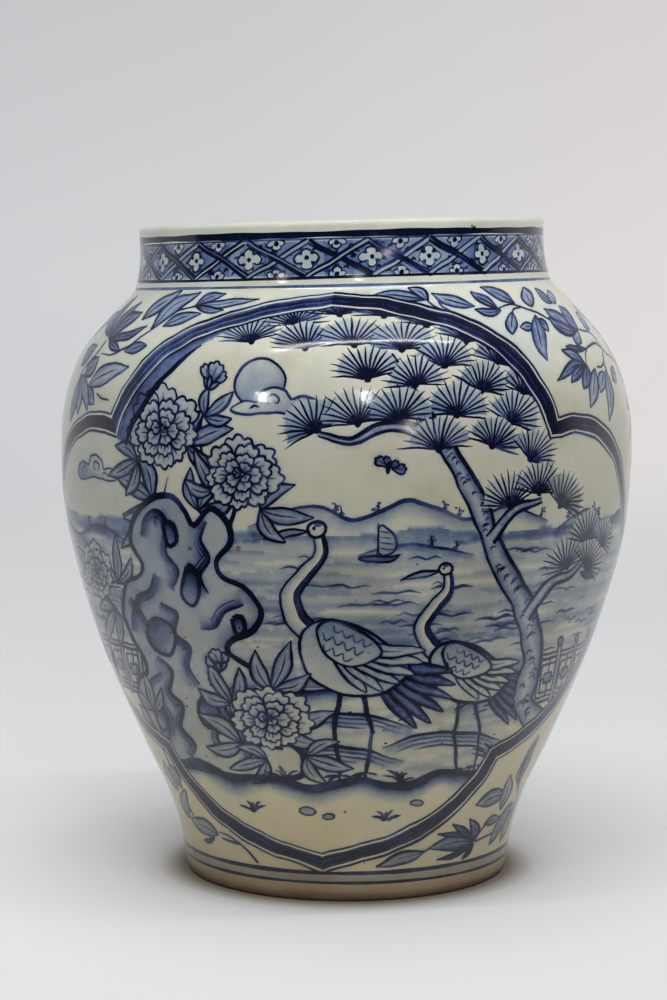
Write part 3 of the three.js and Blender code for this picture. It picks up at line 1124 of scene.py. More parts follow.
# A crane on its feet, head up and turned ahead: places beside its front foot, before it is scaled
CRANE_LEGS = [((3, 0), (0, 27), (4, 54)), ((17, 1), (20, 26), (14, 54))]
CRANE_TOES = [(-9, -2), (-7, -5), (-1, -5), (6, -1)]
CRANE_TAIL = [(44, 28), (52, 31), (59, 37), (64, 45), (66, 54), (64, 62)]
CRANE_NECK = [(-8, 82), (-19, 93), (-23, 106), (-16, 118), (-8, 128), (-9, 139)]
CRANE_HEAD = (-10, 142)
CRANE_BEAK = (-38, 136)
CRANE_BODY = [(-17, 74), (-13, 62), (-2, 53), (13, 49), (28, 52), (38, 60), (38, 69), (28, 79), (15, 88),
              (2, 93), (-10, 92), (-17, 85)]
CRANE_LONG_FEATHERS = [(17, 51), (26, 52), (35, 56), (42, 61), (47, 68), (48, 75)]
CRANE_WING = [(-9, 88), (-6, 76), (4, 68), (16, 68), (25, 74), (20, 82), (8, 90), (-2, 93)]
CRANE_SCALLOPS = [[(-6, 80), (10, 72)], [(-6, 86), (16, 76)], [(0, 90), (20, 80)]]


def crane(x, v, scale, side=1):
    many = placer(x, v, scale, side)
    at = lambda px, pv: many([(px, pv)])[0]
    for foot, knee, hip in CRANE_LEGS:
        stroke(many([hip, knee]), 2.0 * scale, 0.9, tips=(1, 0.8))
        stroke(many([knee, foot]), 1.7 * scale, 0.95, tips=(1, 0.7))
        blob(*at(*knee), 1.5 * scale, 0.95)
        for toe in CRANE_TOES:
            bend = (foot[0] + toe[0] * 0.5, foot[1] + toe[1] * 0.3)
            stroke(many([foot, bend, (foot[0] + toe[0], foot[1] + toe[1])]), 1.2 * scale, 0.9)
    feathers(at(20, 76), many(CRANE_TAIL), 7.5 * scale, 0.9, 1.0)
    path = flow(many(CRANE_NECK), 2.4)
    half = np.linspace(6.6, 2.5, len(path))[:, None] * scale
    out = sides(path) * side
    left, right = path + out * half, path - out * half
    keep_free(left, right)
    wash(left, path, 0.26, 0.06)
    for edge in (left, right):
        brush(edge, 1.1, 0.85, tips=(0.9, 0.9))
    ribbon(path[2:] * 0.7 + right[2:] * 0.3, right[2:], 0.86)
    body = many(CRANE_BODY)
    shape(body, ink=0.06, line=0.95, width=1.5, towards=[body[2], body[8]], far=0.34)
    feathers(at(0, 84), many(CRANE_LONG_FEATHERS), 8 * scale, 0.2, 0.85)
    wing = many(CRANE_WING)
    shape(wing, ink=0.08, line=0.9, width=1.3, towards=[wing[2], wing[6]], far=0.4)
    scallops([many(row) for row in CRANE_SCALLOPS], 5.0 * scale)
    shape(many(oval(*CRANE_HEAD, 4.6, 3.9, 8)), ink=0.06, line=0.9, width=1.1)
    blob(*at(CRANE_HEAD[0] + 0.5, CRANE_HEAD[1] + 2.6), 2.2 * scale, 0.62, flat=0.7)
    tip = at(*CRANE_BEAK)
    root = at(*(h + (b - h) * 0.12 for h, b in zip(CRANE_HEAD, CRANE_BEAK)))
    middle = ((root[0] + tip[0]) / 2, (root[1] + tip[1]) / 2 + 0.6)
    leaf(root, middle, tip, 3.6 * scale, ink=0.4, line=0.9, vein=0)
    blob(*at(CRANE_HEAD[0] - 1.2, CRANE_HEAD[1] + 0.6), 0.95 * scale, 1.0)


def ripples(x_low, x_high, v_low, v_high, count):
    """Water, as short rows of waves."""
    for _ in range(count):
        x, v = between(x_low, x_high), between(v_low, v_high)
        length = between(12, 30)
        points = [(x + length * k / 4, v + (0.9 if k % 2 else -0.6) * between(0.5, 1.2)) for k in range(5)]
        stroke(points, between(0.8, 1.2), between(0.4, 0.66), tips=(0.2, 0.1))


# Water is darker far off, at the top, and paler near by
FAR_WATER = 1.22
WATER_FADE = 0.6


def washes(x_low, x_high, v_low, v_high, ink_low, ink_high, rows):
    """Broad level brushfuls of thin colour, one below the other, that meet unevenly."""
    step = (v_high - v_low) / rows
    for k in range(rows):
        v = v_high - step * (k + 0.5)
        spots = np.linspace(x_low, x_high, 14)
        top = [(x, v + step * 0.5 + between(-0.4, 0.5) * step) for x in spots]
        low = [(x, v - step * 0.5 + between(-0.5, 0.4) * step) for x in spots]
        ink = (ink_high if k == 0 else between(ink_low, ink_high)) * (FAR_WATER - WATER_FADE * k / rows)
        wash(flow(top, 9.0), flow(low, 9.0), ink, ink * between(0.4, 0.9))


def hummocks(lines):
    """Rises in the ground, each a curved line with a wash below it and a few dots of moss."""
    for points in lines:
        skirt(points, 10.0, 0.3)
        stroke(points, 1.4, between(0.8, 0.98), tips=(0.15, 0.1), loose=0.4)
        path = flow(points, 3.0)
        for k in (1, 2, 3):
            start, end = draw_random.randrange(1, 4) * k, len(path) - draw_random.randrange(1, 4) * k
            if end - start > 4:
                brush(path[start:end] - sides(path)[start:end] * (2.9 * k), 0.85, between(0.55, 0.85),
                      tips=(0.1, 0.1), loose=0.4)
        for _ in range(4):
            spot = path[draw_random.randrange(1, len(path) - 1)]
            blob(spot[0] + between(-2, 2), spot[1] + between(0.8, 2.2), 0.9, 0.98, flat=0.7)


def far_shore(points, depth=7.0, trees=6):
    """A low shore far off: a line with a wash under it and a few dabs for its trees."""
    skirt(points, depth, 0.36)
    stroke(points, 1.5, 0.62, tips=(0.1, 0.1), loose=0.3)
    path = flow(points, 3.0)
    for _ in range(trees):
        spot = path[draw_random.randrange(2, len(path) - 2)]
        for k in range(3):
            blob(spot[0] + between(-2, 2), spot[1] + 1.5 + 1.8 * k, 1.6 - 0.3 * k, 0.56, flat=0.7)
        stroke([spot, (spot[0] + 0.3, spot[1] + 3), (spot[0], spot[1] + 6)], 0.8, 0.7)


def boat(x, v, scale, side=1):
    """A small sailing boat."""
    many = placer(x, v, scale, side)
    shape(many([(-13, 3), (-7, 0), (8, 0), (15, 5), (9, 3.6), (-6, 3.4)]), ink=0.55, line=0.9, width=1.0)
    stroke(many([(0, 3), (0.5, 16), (0, 27)]), 1.1 * scale, 0.9, tips=(1, 0.6))
    sail = many([(1, 25), (9, 20), (12, 12), (10, 6), (1, 5.5)])
    shape(sail, ink=0.12, line=0.8, width=0.9, towards=[sail[0], sail[3]], far=0.34)
    for k in range(4):
        stroke(many([(1, 9 + 4 * k), (6, 8.4 + 4 * k), (11.4 - 1.1 * k, 8.6 + 3.6 * k)]), 0.6, 0.66, step=3)


def box(x_low, x_high, v_low, v_high):
    return [(x_low, v_low), (x_high, v_low), (x_high, v_high), (x_low, v_high)]


def fence(x_low, x_high, low, high, panels):
    """A garden railing with a fretwork pattern."""
    wide = (x_high - x_low) / panels
    middle = (low + high) / 2
    reserve(box(x_low, x_high, low, high), smooth=False)
    patch(box(x_low, x_high, low, high), 0.12, smooth=False)
    for v in (low, low + 3.2, high, high - 3.0):
        stroke([(x_low, v), ((x_low + x_high) / 2, v + 0.7), (x_high, v)], 1.3, 0.86, tips=(1, 1))
    for k in range(panels):
        x = x_low + wide * k
        centre = x + wide / 2 + 1.5
        frame_left, frame_right = x + 4.5, x + wide - 1.5
        core = box(centre - 4, centre + 4, middle - 3.4, middle + 3.4)
        bars = [((centre - 4, middle), (frame_left, middle)), ((centre + 4, middle), (frame_right, middle)),
                ((centre, middle + 3.4), (centre, high - 3)), ((centre, middle - 3.4), (centre, low + 3.2))]
        frame_line = box(frame_left, frame_right, low + 6.5, high - 6.5)
        for corner, following in zip(frame_line, frame_line[1:] + frame_line[:1]):
            stroke([corner, following], 1.1, 0.8, tips=(1, 1), step=6)
        patch(core, 0.3, smooth=False)
        for corner, following in zip(core, core[1:] + core[:1]):
            stroke([corner, following], 1.0, 0.84, tips=(1, 1), step=6)
        for bar in bars:
            stroke(bar, 1.0, 0.8, tips=(1, 1), step=6)
    for k in range(panels + 1):
        x = x_low + wide * k
        shape(box(x - 1.9, x + 1.9, low - 2, high + 3.5), ink=0.24, line=0.9, width=1.1, smooth=False)
        shape(oval(x, high + 6.2, 2.7, 2.9, 7), ink=0.4, line=0.92, width=1.1)


# A curled cloud with a trailing end
CLOUD_BODY = [(-26, -2), (-18, 3), (-11, 2), (-8, 8), (-1, 11), (6, 9), (9, 4), (16, 6), (23, 4), (26, -1),
              (21, -5), (10, -5), (2, -3), (-8, -4), (-16, -5)]
CLOUD_CURLS = [
    [(-4, 1), (-5, 5), (-1, 7), (2, 5), (1, 2), (-1, 3)], [(13, -1), (13, 2), (17, 3), (19, 0), (17, -2)],
    [(-15, -2), (-12, 0), (-9, -1)],
]


def cloud(x, v, scale, side=1):
    many = placer(x, v, scale, side)
    body = many(CLOUD_BODY)
    shape(body, ink=0.03, line=0.62, width=1.0, towards=[body[4], body[11]], far=0.3)
    for curl in CLOUD_CURLS:
        stroke(many(curl), 0.9, 0.62, step=1.8)


def grass(x, v, size, blades, lean_way=0.0):
    for k in range(blades):
        turn = math.radians(90 - 58 * (2 * k / (blades - 1) - 1) + lean_way + between(-8, 8))
        long = size * between(0.65, 1.05)
        tip = (x + long * math.cos(turn) * 1.1, v + long * math.sin(turn) * 0.85)
        middle = (x + long * 0.45 * math.cos(turn), v + long * 0.62 * math.sin(turn))
        stroke([(x + between(-1.2, 1.2), v), middle, tip], between(1.0, 1.8),
               between(0.72, 0.98), tips=(0.8, 0.05))


def shore_line(points, width, depth, ink=0.95):
    """The edge of the ground: a broken dark line, with its wash running out below."""
    skirt(points, depth, 0.55)
    skirt(points, depth * 0.45, 0.4)
    stroke(points, width, ink, loose=0.42, tips=(0.4, 0.3))
    higher = [(px + between(-3, 3), pv + between(0.5, 2.5)) for px, pv in points]
    stroke(higher, width * 0.5, ink * 0.8, loose=0.5)


def swallow(x, v, size, turn):
    """A small bird on the wing."""
    way = math.radians(turn)
    at = lambda a, b: (x + size * (a * math.cos(way) - b * math.sin(way)),
                       v + size * (a * math.sin(way) + b * math.cos(way)))
    leaf(at(0.1, 0.05), at(-0.1, 0.62), at(-0.62, 1.0), size * 0.3, ink=0.85, line=0.95, vein=0)
    leaf(at(0.1, -0.05), at(0.05, -0.5), at(-0.35, -0.95), size * 0.26, ink=0.85, line=0.95, vein=0)
    leaf(at(-0.5, 0.02), at(0, 0.06), at(0.5, 0.0), size * 0.3, ink=0.6, line=0.95, vein=0)
    for dv in (0.16, -0.12):
        stroke([at(-0.4, 0), at(-0.75, dv * 0.6), at(-1.1, dv)], size * 0.1, 0.95, tips=(1, 0.1), step=2)
    blob(*at(0.46, 0.03), size * 0.1, 0.95)


def butterfly(x, v, size, turn):
    way = math.radians(turn)
    for side in (1, -1):
        for spread, long in ((38, 1.0), (-28, 0.66)):
            wing = math.radians(turn + side * (52 + spread * 0.6))
            fan_petal(x, v, wing, size * long, 0.42, ink=0.2, rim=0.5)
    leaf_towards(x - 0.4 * size * math.cos(way), v - 0.4 * size * math.sin(way), turn,
                 size * 0.9, size * 0.16, ink=0.9, line=0.95, vein=0)


PINE_TUFT = 20.0


def pine_canopy(rows):
    """Masses of needles, the far ones laid first."""
    for row in rows:
        for x, v, turn in row:
            pine_fan(x, v, PINE_TUFT * between(0.9, 1.08), turn, between(0.3, 0.42))


def paint_front_garden():
    """Cranes under a pine, beside a rock with peonies, with water and far shores behind."""
    washes(-240, 240, 128, 212, 0.17, 0.37, 15)
    washes(-128, 140, 56, 132, 0.07, 0.22, 12)
    sun = oval(-37, 291, 14, 14, 12)
    shape(sun, ink=0.1, line=0.7, width=1.2, towards=[sun[4], sun[9]], far=0.34)
    cloud(-28, 278, 0.95)
    cloud(-152, 238, 0.9, side=-1)
    far_shore([(-235, 196), (-205, 206), (-180, 200), (-150, 209), (-122, 202)])
    far_shore([(-40, 214), (-8, 226), (18, 219), (46, 229), (78, 218), (104, 224), (132, 214)], trees=9,
              depth=9)
    far_shore([(136, 208), (165, 218), (190, 209), (215, 213), (236, 200)])
    far_shore([(20, 200), (48, 205), (84, 199)], depth=5, trees=3)
    ripples(-235, -125, 150, 190, 20)
    ripples(-34, 215, 136, 200, 66)
    boat(30, 196, 0.8)
    boat(178, 178, 0.8, side=-1)
    boat(-186, 172, 0.75)
    fence(-236, -118, 106, 138, 6)
    fence(134, 234, 102, 134, 5)
    shore_line([(-30, 124), (0, 120), (30, 126), (58, 118), (88, 124), (124, 116)], width=1.6, depth=9,
               ink=0.85)
    grass(34, 122, 13, 6)
    grass(96, 120, 11, 5)
    hummocks([[(-20, 96), (4, 106), (30, 104), (52, 95)], [(34, 84), (60, 92), (92, 88), (112, 80)],
              [(-34, 76), (-8, 84), (22, 83), (46, 74)], [(76, 106), (98, 113), (122, 108)]])
    crane(76, 66, 0.88)
    # The pine
    limb([(148, 84), (126, 104), (129, 134), (118, 166), (98, 196), (84, 226), (66, 254), (44, 284),
          (30, 306)], 18, 5.5)
    limb([(120, 160), (138, 178), (156, 182), (178, 198)], 7.0, 2.6, scales=False)
    limb([(92, 206), (108, 222), (126, 226)], 6.0, 2.6, scales=False)
    limb([(60, 262), (34, 268), (12, 260), (-4, 264)], 6.0, 2.4, scales=False)
    pine_canopy([
        [(-44, 318, 100), (-20, 330, 95), (4, 336, 92), (28, 335, 90), (52, 328, 85), (74, 317, 80),
         (94, 303, 72), (112, 286, 62)],
        [(-14, 314, 100), (12, 316, 95), (38, 313, 90), (62, 303, 85), (84, 288, 76), (104, 270, 64)],
        [(20, 296, 96), (46, 292, 92), (70, 276, 84), (92, 258, 70), (118, 250, 50)],
        [(-6, 268, 120), (16, 272, 100), (38, 274, 92), (60, 258, 90)],
        [(104, 226, 110), (124, 232, 84), (142, 224, 50)],
        [(150, 188, 110), (168, 202, 88), (188, 198, 60), (172, 186, 50)],
    ])
    crane(8, 66, 1.04)
    # Peonies behind the rock, the rock, and those in front of it
    stroke([(-88, 150), (-96, 200), (-90, 240)], 2.0, 0.9)
    stroke([(-60, 190), (-50, 214), (-46, 236)], 1.8, 0.9)
    stroke([(-62, 236), (-70, 262), (-66, 288)], 1.6, 0.9)
    stroke([(-110, 140), (-140, 160), (-156, 172)], 1.8, 0.9)
    foliage([(-100, 226, 160, 34), (-70, 222, 60, 30), (-112, 246, 200, 28), (-78, 256, 20, 30),
             (-60, 232, 120, 26), (-34, 224, -8, 30), (-140, 158, 230, 30), (-168, 178, 150, 28),
             (-132, 176, 90, 28), (-68, 272, 40, 22), (-104, 210, 210, 26)], ink=0.4)
    peony(-94, 262, 28, face=110)
    peony(-46, 240, 25, face=60)
    bud(-66, 288, 14, face=75)
    peony(-156, 178, 22, face=130)
    garden_rock(-76, 64)
    foliage([(-22, 96, 20, 34), (-44, 84, 150, 34), (-26, 120, 70, 32), (-8, 78, -16, 28),
             (-50, 110, 120, 30), (-122, 78, 160, 28), (-112, 96, 100, 26), (-30, 74, 200, 26)], ink=0.4)
    peony(-28, 99, 26, face=80)
    bud(-56, 130, 13, face=110)
    grass(-118, 64, 22, 7, lean_way=10)
    grass(104, 66, 20, 7)
    butterfly(34, 246, 9, 70)
    # The ground
    shore_line([(-112, 72), (-96, 63), (-74, 66), (-52, 58), (-28, 62), (-4, 56), (20, 62), (46, 57),
                (70, 65), (92, 61), (114, 72)], width=3.6, depth=12)
    grass(-20, 60, 14, 6)
    grass(44, 59, 13, 6)
    grass(-40, 37, 10, 5)
    grass(36, 34, 10, 5)
    for x, v, size in ((-8, 40, 5), (4, 37, 3.5), (54, 45, 4)):
        shape(oval(x, v, size, size * 0.55, 7), ink=0.3, line=0.8, width=0.9)


def paint_back_garden():
    """Bamboo and a rock beside a pond, with peonies and a crane."""
    washes(-240, 240, 128, 214, 0.17, 0.37, 15)
    washes(-128, 140, 56, 132, 0.07, 0.22, 12)
    cloud(40, 300, 1.0)
    cloud(-30, 276, 0.9, side=-1)
    cloud(150, 238, 0.9)
    far_shore([(-235, 200), (-200, 210), (-170, 203), (-140, 211), (-110, 203)])
    far_shore([(-60, 218), (-30, 228), (0, 220), (30, 229), (62, 218)], trees=8)
    far_shore([(130, 206), (160, 216), (190, 208), (234, 202)])
    ripples(-215, 215, 140, 200, 70)
    boat(-20, 190, 0.85, side=-1)
    boat(150, 178, 0.75)
    fence(-236, -116, 104, 136, 6)
    fence(118, 234, 104, 136, 6)
    garden_rock(76, 64, side=-1)
    for x, top, width in ((-98, 300, 7.5), (-78, 322, 8.5), (-60, 290, 6.5)):
        bamboo(x, 62, x + between(6, 14), top, width)
    for x, v, turn in ((-86, 300, -40), (-60, 312, -30), (-104, 282, 200), (-44, 296, -50), (-70, 276, 210),
                       (-92, 250, 215), (-50, 262, -35), (-66, 236, -45), (-108, 232, 205), (-40, 330, -20),
                       (-10, 318, -40), (-30, 286, -30)):
        for spread in (-34, -12, 10, 32):
            leaf_towards(x, v, turn + spread, between(20, 28), 6.5, bend=0.1, ink=0.5, line=0.9)
    foliage([(96, 226, 20, 32), (66, 222, 120, 30), (44, 226, 190, 28), (110, 246, -20, 28),
             (140, 160, -40, 28)], ink=0.42)
    peony(88, 258, 27, face=70)
    peony(46, 242, 22, face=120)
    bud(66, 288, 13, face=100)
    peony(152, 176, 20, face=50)
    hummocks([[(-50, 98), (-24, 108), (2, 105), (24, 96)], [(-110, 84), (-84, 93), (-56, 90), (-36, 80)],
              [(-20, 78), (8, 86), (38, 83), (60, 74)]])
    crane(-6, 66, 1.05, side=-1)
    foliage([(24, 96, 160, 30), (40, 84, 30, 30), (24, 120, 110, 28), (-80, 84, 160, 28),
             (-60, 88, 40, 28)], ink=0.42)
    peony(30, 100, 22, face=90)
    peony(-72, 96, 22, face=100)
    swallow(10, 262, 9, 160)
    swallow(34, 276, 8, 170)
    shore_line([(-112, 70), (-90, 62), (-66, 65), (-40, 57), (-12, 60), (16, 55), (44, 60), (70, 57),
                (94, 62), (114, 70)],
               width=3.4, depth=11)
    grass(-30, 58, 14, 7)
    grass(70, 58, 12, 6)
    grass(-6, 34, 9, 5)


def bamboo(x, v, x_top, v_top, width):
    """A cane in jointed lengths."""
    count = max(3, int((v_top - v) / 34))
    for k in range(count):
        a, b = k / count, (k + 1) / count
        low = (x + (x_top - x) * a, v + (v_top - v) * a + 0.8)
        high = (x + (x_top - x) * b, v + (v_top - v) * b - 0.8)
        half = width / 2 * (1 - 0.3 * a)
        cane = [(low[0] - half, low[1]), (low[0] + half, low[1]),
                (high[0] + half * 0.96, high[1]), (high[0] - half * 0.96, high[1])]
        shape(cane, ink=0.3, line=0.85, width=1.2, towards=[cane[0], cane[1]], far=0.04, smooth=False)
        joint = ((-1.25, 0.8), (0, 1.4), (1.25, 0.8))
        stroke([(high[0] + half * way, high[1] + rise) for way, rise in joint], 1.5, 0.95)


SPRAY_INK = 0.42


def paint_spray(spray):
    for points in spray["stems"]:
        stroke(points, 1.15, 0.84, tips=(0.8, 0.5))
    for base, middle, tip, width in spray["leaves"]:
        leaf(base, middle, tip, width, ink=SPRAY_INK * between(0.75, 1.2), line=between(0.66, 0.98))
    for base, middle, tip, width in spray["petals"]:
        leaf(base, middle, tip, width, ink=0.66, line=0.92, heart=0.35, vein=0.8, line_width=1.15)


def paint_panels():
    for number, turn in ((1, math.degrees(FRONT_TURN)), (2, math.degrees(FRONT_TURN) + 180)):
        panel = Field(turn, slant=0.045 if number == 1 else -0.02, mirror=number == 2)
        use_field(panel)
        for spray in (TOP_RIGHT, TOP_LEFT, LOW_RIGHT, LOW_LEFT):
            paint_spray(spray)
        painting.area = number
        painting.add([tuple(p) for p in field.sheet(whole_edge(0.0))], AREA_MARK, (0, 0, 0), (0, 0))
        if number == 1:
            paint_front_garden()
        else:
            paint_back_garden()
        paint_inner_shade()
        painting.area = 0
        paint_panel_edge()


def paint_side(turn):
    """A hanging peony sprig and a small bud, in the room that the two panels leave at the jar's side."""
    use_field(Field(turn))
    stroke([(-3, 340), (3, 324), (-2, 308), (1, 290)], 1.4, 0.9, tips=(0.6, 0.8))
    stroke([(1, 280), (6, 262), (-3, 244), (1, 228)], 1.3, 0.9, tips=(0.8, 0.5))
    foliage([(0, 322, 150, 26), (2, 318, 30, 27), (-2, 268, 215, 30), (4, 264, -28, 30), (0, 240, 232, 24)],
            ink=0.46)
    for x, v, way, size in ((1, 236, -40, 22), (-1, 334, 60, 15)):
        leaf_towards(x, v, way, size, size * 0.3)
    peony(0, 292, 25, face=95)
    bud(0, 224, 14, face=-92)
    stroke([(1, 84), (-2, 100), (1, 118)], 1.2, 0.9, tips=(0.4, 0.8))
    three_leaves(-1, 100, 165, 21, ink=0.46)
    three_leaves(0, 96, 15, 21, ink=0.46)
    bud(1, 120, 13, face=90)


# Flaws in the glaze: turn in degrees, place up the jar, radius, and 1 for burnt or 0.5 for reddish
FLAWS = [(68.2, 132.8, 1.4, 1.0), (37.9, 385.4, 1.25, 1.0), (37.1, 386.4, 0.8, 0.9), (-0.7, 40.3, 0.8, 0.9),
         (-20.8, 202.5, 1.7, 0.5), (-31.0, 201.0, 1.3, 0.5)]
SPECK_COUNT = 64


def paint_flaws():
    specks = [(between(0, 360), between(-10, V_LIP - 3), between(0.3, 0.75),
               draw_random.choice((0.45, 0.9, 1.0))) for _ in range(SPECK_COUNT)]
    for turn, v, radius, stain in FLAWS + specks:
        use_field(Field(turn))
        ring = [(radius * math.cos(a) * between(0.75, 1.2), v + radius * math.sin(a) * between(0.75, 1.2))
                for a in np.linspace(0, TURN, 8)[:-1]]
        patch(ring, stain, kind=STAIN_MARK, smooth=False)


paint_panels()
paint_side(math.degrees(FRONT_TURN) + 90)
paint_side(math.degrees(FRONT_TURN) - 90)
bleeding = False
paint_diaper()
paint_ring_lines()
paint_flaws()


# From the painting to meshes

# The mesh's steps up the sheet, finer over the foot's edge, the collar and the lip
GRID_STEP = 3.0
FOOT_EDGE_BAND = 5.0
FOOT_EDGE_STEP = 0.8
COLLAR_STEP = 1.8
LIP_BAND = 6.0
LIP_STEP = 0.7
# The side of a cell for the washes, and how far inside a triangle its corners' washes are read
CELL = 0.5
NUDGE = 0.2
# How much of a new wash a full one takes up, and what a mark adds where it crosses a stronger one
WASH_TAKEN_UP = 0.5
OVERLAP = 0.06
# How near two places count as one
NEAR = 0.02


class Cells:
    """The sheet as small cells: how much wash each holds, and the last mark that kept it free."""

    def __init__(self):
        self.rows = int((V_LIP - V_FOOT_EDGE) / CELL) + 2
        self.columns = int(SHEET_WIDTH / CELL) + 2
        self.wash = np.zeros((self.rows, self.columns))
        self.kept_free = np.full((self.rows, self.columns), -1)
        self.lined = np.zeros((self.rows, self.columns), bool)
        self.useless = set()
        self.areas = {}

    def inside(self, corners):
        """The cells inside a polygon: their rows, their columns, and which of them count."""
        corners = (np.array(corners) - (U_CUT, V_FOOT_EDGE)) / CELL - 0.5
        low = np.maximum(np.floor(corners.min(axis=0)).astype(int), 0)
        high = np.minimum(np.ceil(corners.max(axis=0)).astype(int) + 1, (self.columns, self.rows))
        rows, columns = slice(low[1], max(high[1], low[1])), slice(low[0], max(high[0], low[0]))
        us, vs = np.arange(columns.start, columns.stop), np.arange(rows.start, rows.stop)
        chosen = np.zeros((len(vs), len(us)), bool)
        for (u0, v0), (u1, v1) in zip(corners, np.roll(corners, -1, axis=0)):
            if v0 == v1:
                continue
            met = (vs >= min(v0, v1)) & (vs < max(v0, v1))
            at = u0 + (vs[met] - v0) * (u1 - u0) / (v1 - v0)
            chosen[met] ^= us[None, :] > at[:, None]
        return rows, columns, chosen

    def lay(self):
        """Lays every wash, and every place kept free, in painting order."""
        shapes = [[painting.points[n] for n in face] for face in painting.faces]
        for corners, kind, area in zip(shapes, painting.kinds, painting.areas):
            if kind == AREA_MARK:
                rows, columns, chosen = self.inside(corners)
                mask = self.areas.setdefault(area, np.zeros((self.rows, self.columns), bool))
                mask[rows, columns] |= chosen
        for k, (corners, kind, area) in enumerate(zip(shapes, painting.kinds, painting.areas)):
            if kind == LINE_MARK:
                self.lined[self.spots(corners)] = True
            if kind not in (WASH_MARK, RESERVE_MARK):
                continue
            rows, columns, chosen = self.inside(corners)
            if area:
                chosen &= self.areas[area][rows, columns]
            if kind == RESERVE_MARK:
                plain = painting.limits[k][1] == 0
                if plain and not self.lined[rows, columns][chosen].any():
                    self.useless.add(k)
                self.lined[rows, columns][chosen] = not plain
                self.kept_free[rows, columns][chosen] = k
                self.wash[rows, columns][chosen] = 0
                continue
            us = U_CUT + (np.arange(columns.start, columns.stop) + 0.5) * CELL
            vs = V_FOOT_EDGE + (np.arange(rows.start, rows.stop) + 0.5) * CELL
            slope = painting.slopes[k]
            value = np.clip(us[None, :] * slope[0] + vs[:, None] * slope[1] + slope[2], *painting.limits[k])
            old = self.wash[rows, columns]
            self.wash[rows, columns] = np.where(chosen, old + value * (1 - WASH_TAKEN_UP * old), old)

    def spots(self, corners):
        """The cells at a small polygon's corners, edges and middle, as rows and columns."""
        corners = np.array(corners)
        places = np.vstack([corners, (corners + np.roll(corners, 1, axis=0)) / 2, corners.mean(axis=0)])
        u, v = ((places - (U_CUT, V_FOOT_EDGE)) / CELL).astype(int).T
        return np.clip(v, 0, self.rows - 1), np.clip(u, 0, self.columns - 1)

    def shows(self, k):
        """False if a later mark keeps free all of this one's place, or it lies outside its area."""
        kind, area = painting.kinds[k], painting.areas[k]
        if kind in (WASH_MARK, AREA_MARK) or k in self.useless:
            return False
        if kind == STAIN_MARK:
            return True
        corners = np.array([painting.points[n] for n in painting.faces[k]])
        if kind == RESERVE_MARK:
            rows, columns, chosen = self.inside(corners)
            if area:
                chosen = chosen & self.areas[area][rows, columns]
            return bool((self.kept_free[rows, columns][chosen] == k).any())
        spots = self.spots(corners)
        free = self.kept_free[spots] < k
        if area:
            free &= self.areas[area][spots]
        return bool(free.any())

    def wash_at(self, u, v):
        """How much wash there is at places on the sheet, smoothly between the cells."""
        u = np.clip((u - U_CUT) / CELL - 0.5, 0, self.columns - 1.001)
        v = np.clip((v - V_FOOT_EDGE) / CELL - 0.5, 0, self.rows - 1.001)
        i, j = u.astype(int), v.astype(int)
        s, t = u - i, v - j
        low = self.wash[j, i] * (1 - s) + self.wash[j, i + 1] * s
        high = self.wash[j + 1, i] * (1 - s) + self.wash[j + 1, i + 1] * s
        return low * (1 - t) + high * t


def grid_rows():
    """Rows of the sheet's mesh, with one on each place where the jar's pieces meet."""
    stops = [V_FOOT_EDGE, V_FOOT_EDGE + FOOT_EDGE_BAND, V_FOOT, V_SEAM, V_ROOT, V_LIP - LIP_BAND, V_LIP]
    steps = [FOOT_EDGE_STEP, GRID_STEP, GRID_STEP, GRID_STEP, COLLAR_STEP, LIP_STEP]
    rows = []
    for low, high, step in zip(stops, stops[1:], steps):
        count = max(1, round((high - low) / step))
        rows.extend(low + (high - low) * k / count for k in range(count))
    return np.array(rows + [V_LIP])


def triangulate(faces):
    """The sheet cut along the marks: its points, its triangles, and the marks that each triangle lies in."""
    rows = np.round(grid_rows() / SNAP) * SNAP
    columns = round(SHEET_WIDTH / GRID_STEP)
    us = U_CUT + np.arange(columns + 1) * SHEET_WIDTH / columns
    used = sorted({n for face in faces for n in face})
    numbers = {n: k for k, n in enumerate(used)}
    points = [painting.points[n] for n in used]
    faces = [[numbers[n] for n in face] for face in faces]
    first = len(points)
    for j, v in enumerate(rows):
        shift = 0.5 if j % 2 and 0 < j < len(rows) - 1 else 0.0
        for i, u in enumerate(us):
            points.append((u + shift * SHEET_WIDTH / columns if 0 < i < columns else u, v))
    wide = columns + 1
    meetings = [V_FOOT, V_SEAM, V_ROOT, rows[0], rows[-1]]
    edges = [(first + j * wide + i, first + j * wide + i + 1)
             for j, v in enumerate(rows) if min(abs(v - s) for s in meetings) < NEAR
             for i in range(columns)]
    for j in range(len(rows) - 1):
        edges += [(first + j * wide + i, first + (j + 1) * wide + i) for i in (0, columns)]
    out = delaunay_2d_cdt(points, edges, faces, 0, 1e-7)
    sheet = np.array([tuple(p) for p in out[0]])
    triangles = np.array([tuple(f) for f in out[2]], dtype=np.int64)
    middle = sheet[triangles].mean(axis=1)
    keep = ((middle > (us[0], rows[0])) & (middle < (us[-1], rows[-1]))).all(axis=1)
    marks = [sorted(set(out[5][k])) for k in np.nonzero(keep)[0]]
    return sheet, triangles[keep], marks


